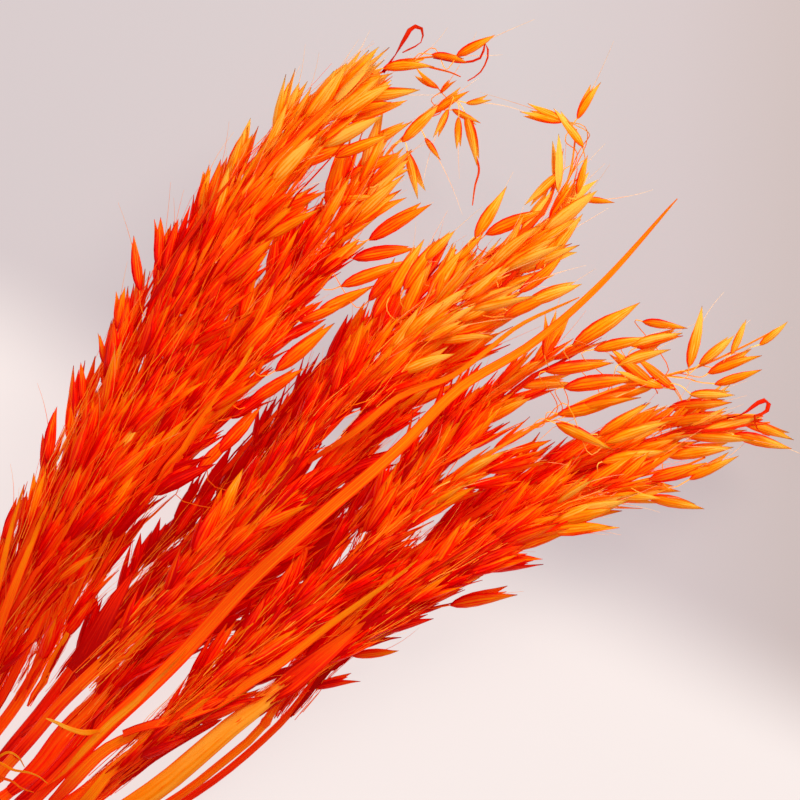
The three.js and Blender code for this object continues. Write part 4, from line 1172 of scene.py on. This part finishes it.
def pale_floor():
    """Matt pale card with a painted glow that fills in the shade the stems cast on it: a painted pool of
    warm white light in the near corner, and painted pinkish grey shade past it that darkens to the right."""
    material, tree = empty_material("pale card with painted light and shade")
    where = add(tree, "ShaderNodeTexCoord").outputs["Object"]
    turned = add(tree, "ShaderNodeMapping", {
        "Vector": where, "Rotation": (0, 0, math.radians(-VIEW_TURN)),
    })
    edge = math.radians(SHADE_EDGE_TURN)
    across = add(tree, "ShaderNodeVectorMath", {
        0: turned, 1: (math.sin(edge), math.cos(edge), 0),
    }, operation="DOT_PRODUCT").outputs["Value"]
    far = add(tree, "ShaderNodeMapRange", {
        "Value": across, "From Min": SHADE_EDGE[0], "From Max": SHADE_EDGE[1],
    }, interpolation_type="SMOOTHSTEP")
    # Painted shade: the card's own colour is dark, and darker past the edge, so that its painted glow gives
    # most of its brightness
    own = add(tree, "ShaderNodeValToRGB", {0: far}, stops=[(0.0, "6A6664"), (1.0, "5C5857")])
    rightwards = add(tree, "ShaderNodeSeparateXYZ", {0: turned})
    grey = add(tree, "ShaderNodeValToRGB", {0: rightwards}, stops=[
        (0.0, "C7BCBE"), (0.38, "B9ABAA"), (0.26, "C6BDBF"), (0.33, "C1B5B7"),
    ])
    # The painted glow: a pool of warm white light in the near corner, and painted grey shade past the edge
    # that darkens to the right
    glow = add(tree, "ShaderNodeMix", {0: far, 6: paint("E6DCDA"), 7: grey}, data_type="RGBA").outputs[2]
    skin = add(tree, "ShaderNodeBsdfPrincipled", {
        "Base Color": own, "Roughness": 0.9, "Specular IOR Level": 0.1, "Emission Color": glow,
        "Emission Strength": 1.0,
    })
    add(tree, "ShaderNodeOutputMaterial", {0: skin})
    return material


def floor():
    corners = [(x * FLOOR_HALF, y * FLOOR_HALF, 0) for x, y in ((-1, -1), (1, -1), (1, 1), (-1, 1))]
    mesh = bpy.data.meshes.new("floor")
    mesh.from_pydata(corners, [], [(0, 1, 2, 3)])
    mesh.materials.append(pale_floor())
    card = stand("floor", mesh)
    card.location = (*tie_middle(), 0)


def view_middle():
    return np.array([*tie_middle(), 0]) + VIEW_MIDDLE


def camera():
    data = bpy.data.cameras.new("camera")
    data.lens = LENS
    data.sensor_width = SENSOR
    eye = stand("camera", data)
    eye.location = view_middle() + [0, 0, VIEW_WIDTH * LENS / SENSOR]
    eye.rotation_euler = (0, 0, math.radians(VIEW_TURN))
    bpy.context.scene.camera = eye


def lamp(name, place, size, power, colour):
    """A square soft light at a place counted from the middle of the view, and aimed at it."""
    data = bpy.data.lights.new(name, "AREA")
    data.size = size
    data.energy = power
    data.color = paint(colour)[:3]
    light = stand(name, data)
    light.location = view_middle() + place
    x, y, z = place
    light.rotation_euler = (math.atan2(math.hypot(x, y), z), 0, math.atan2(y, x) + math.pi / 2)


def studio():
    """A warm key light from past the heads, a weak fill from above, and pale air all round."""
    lamp("key", (0.75, 0.05, 0.55), 0.4, 10.1, "FFF4E8")
    lamp("fill", (-0.4, 0.5, 0.9), 1.0, 3.0, "FFFFFF")
    world = bpy.data.worlds.new("studio")
    world.use_nodes = True
    world.node_tree.nodes.clear()
    sky = add(world.node_tree, "ShaderNodeBackground", {"Color": paint("F2ECEA"), "Strength": 0.45})
    add(world.node_tree, "ShaderNodeOutputWorld", {0: sky})
    bpy.context.scene.world = world
    bpy.context.scene.view_settings.view_transform = "Standard"


finishes = [papery_husk(), oat_straw(), leaf_blade(), awn_bristle()]
for place, entry in enumerate(STEMS):
    row, column = divmod(place, STEMS_WIDE)
    number = place + 1
    stem = PLAIN_STEM | entry | {
        "node": f"oat_stem_{number:02d}", "layer": list(LAYERS)[row], "column": STEMS_WIDE - 1 - column,
        "seed": 101 * number,
    }
    oat_stem(stem, [one[1:] for one in BLADES if one[0] == number], finishes)
twine_tie(jute())
floor()
camera()
studio()
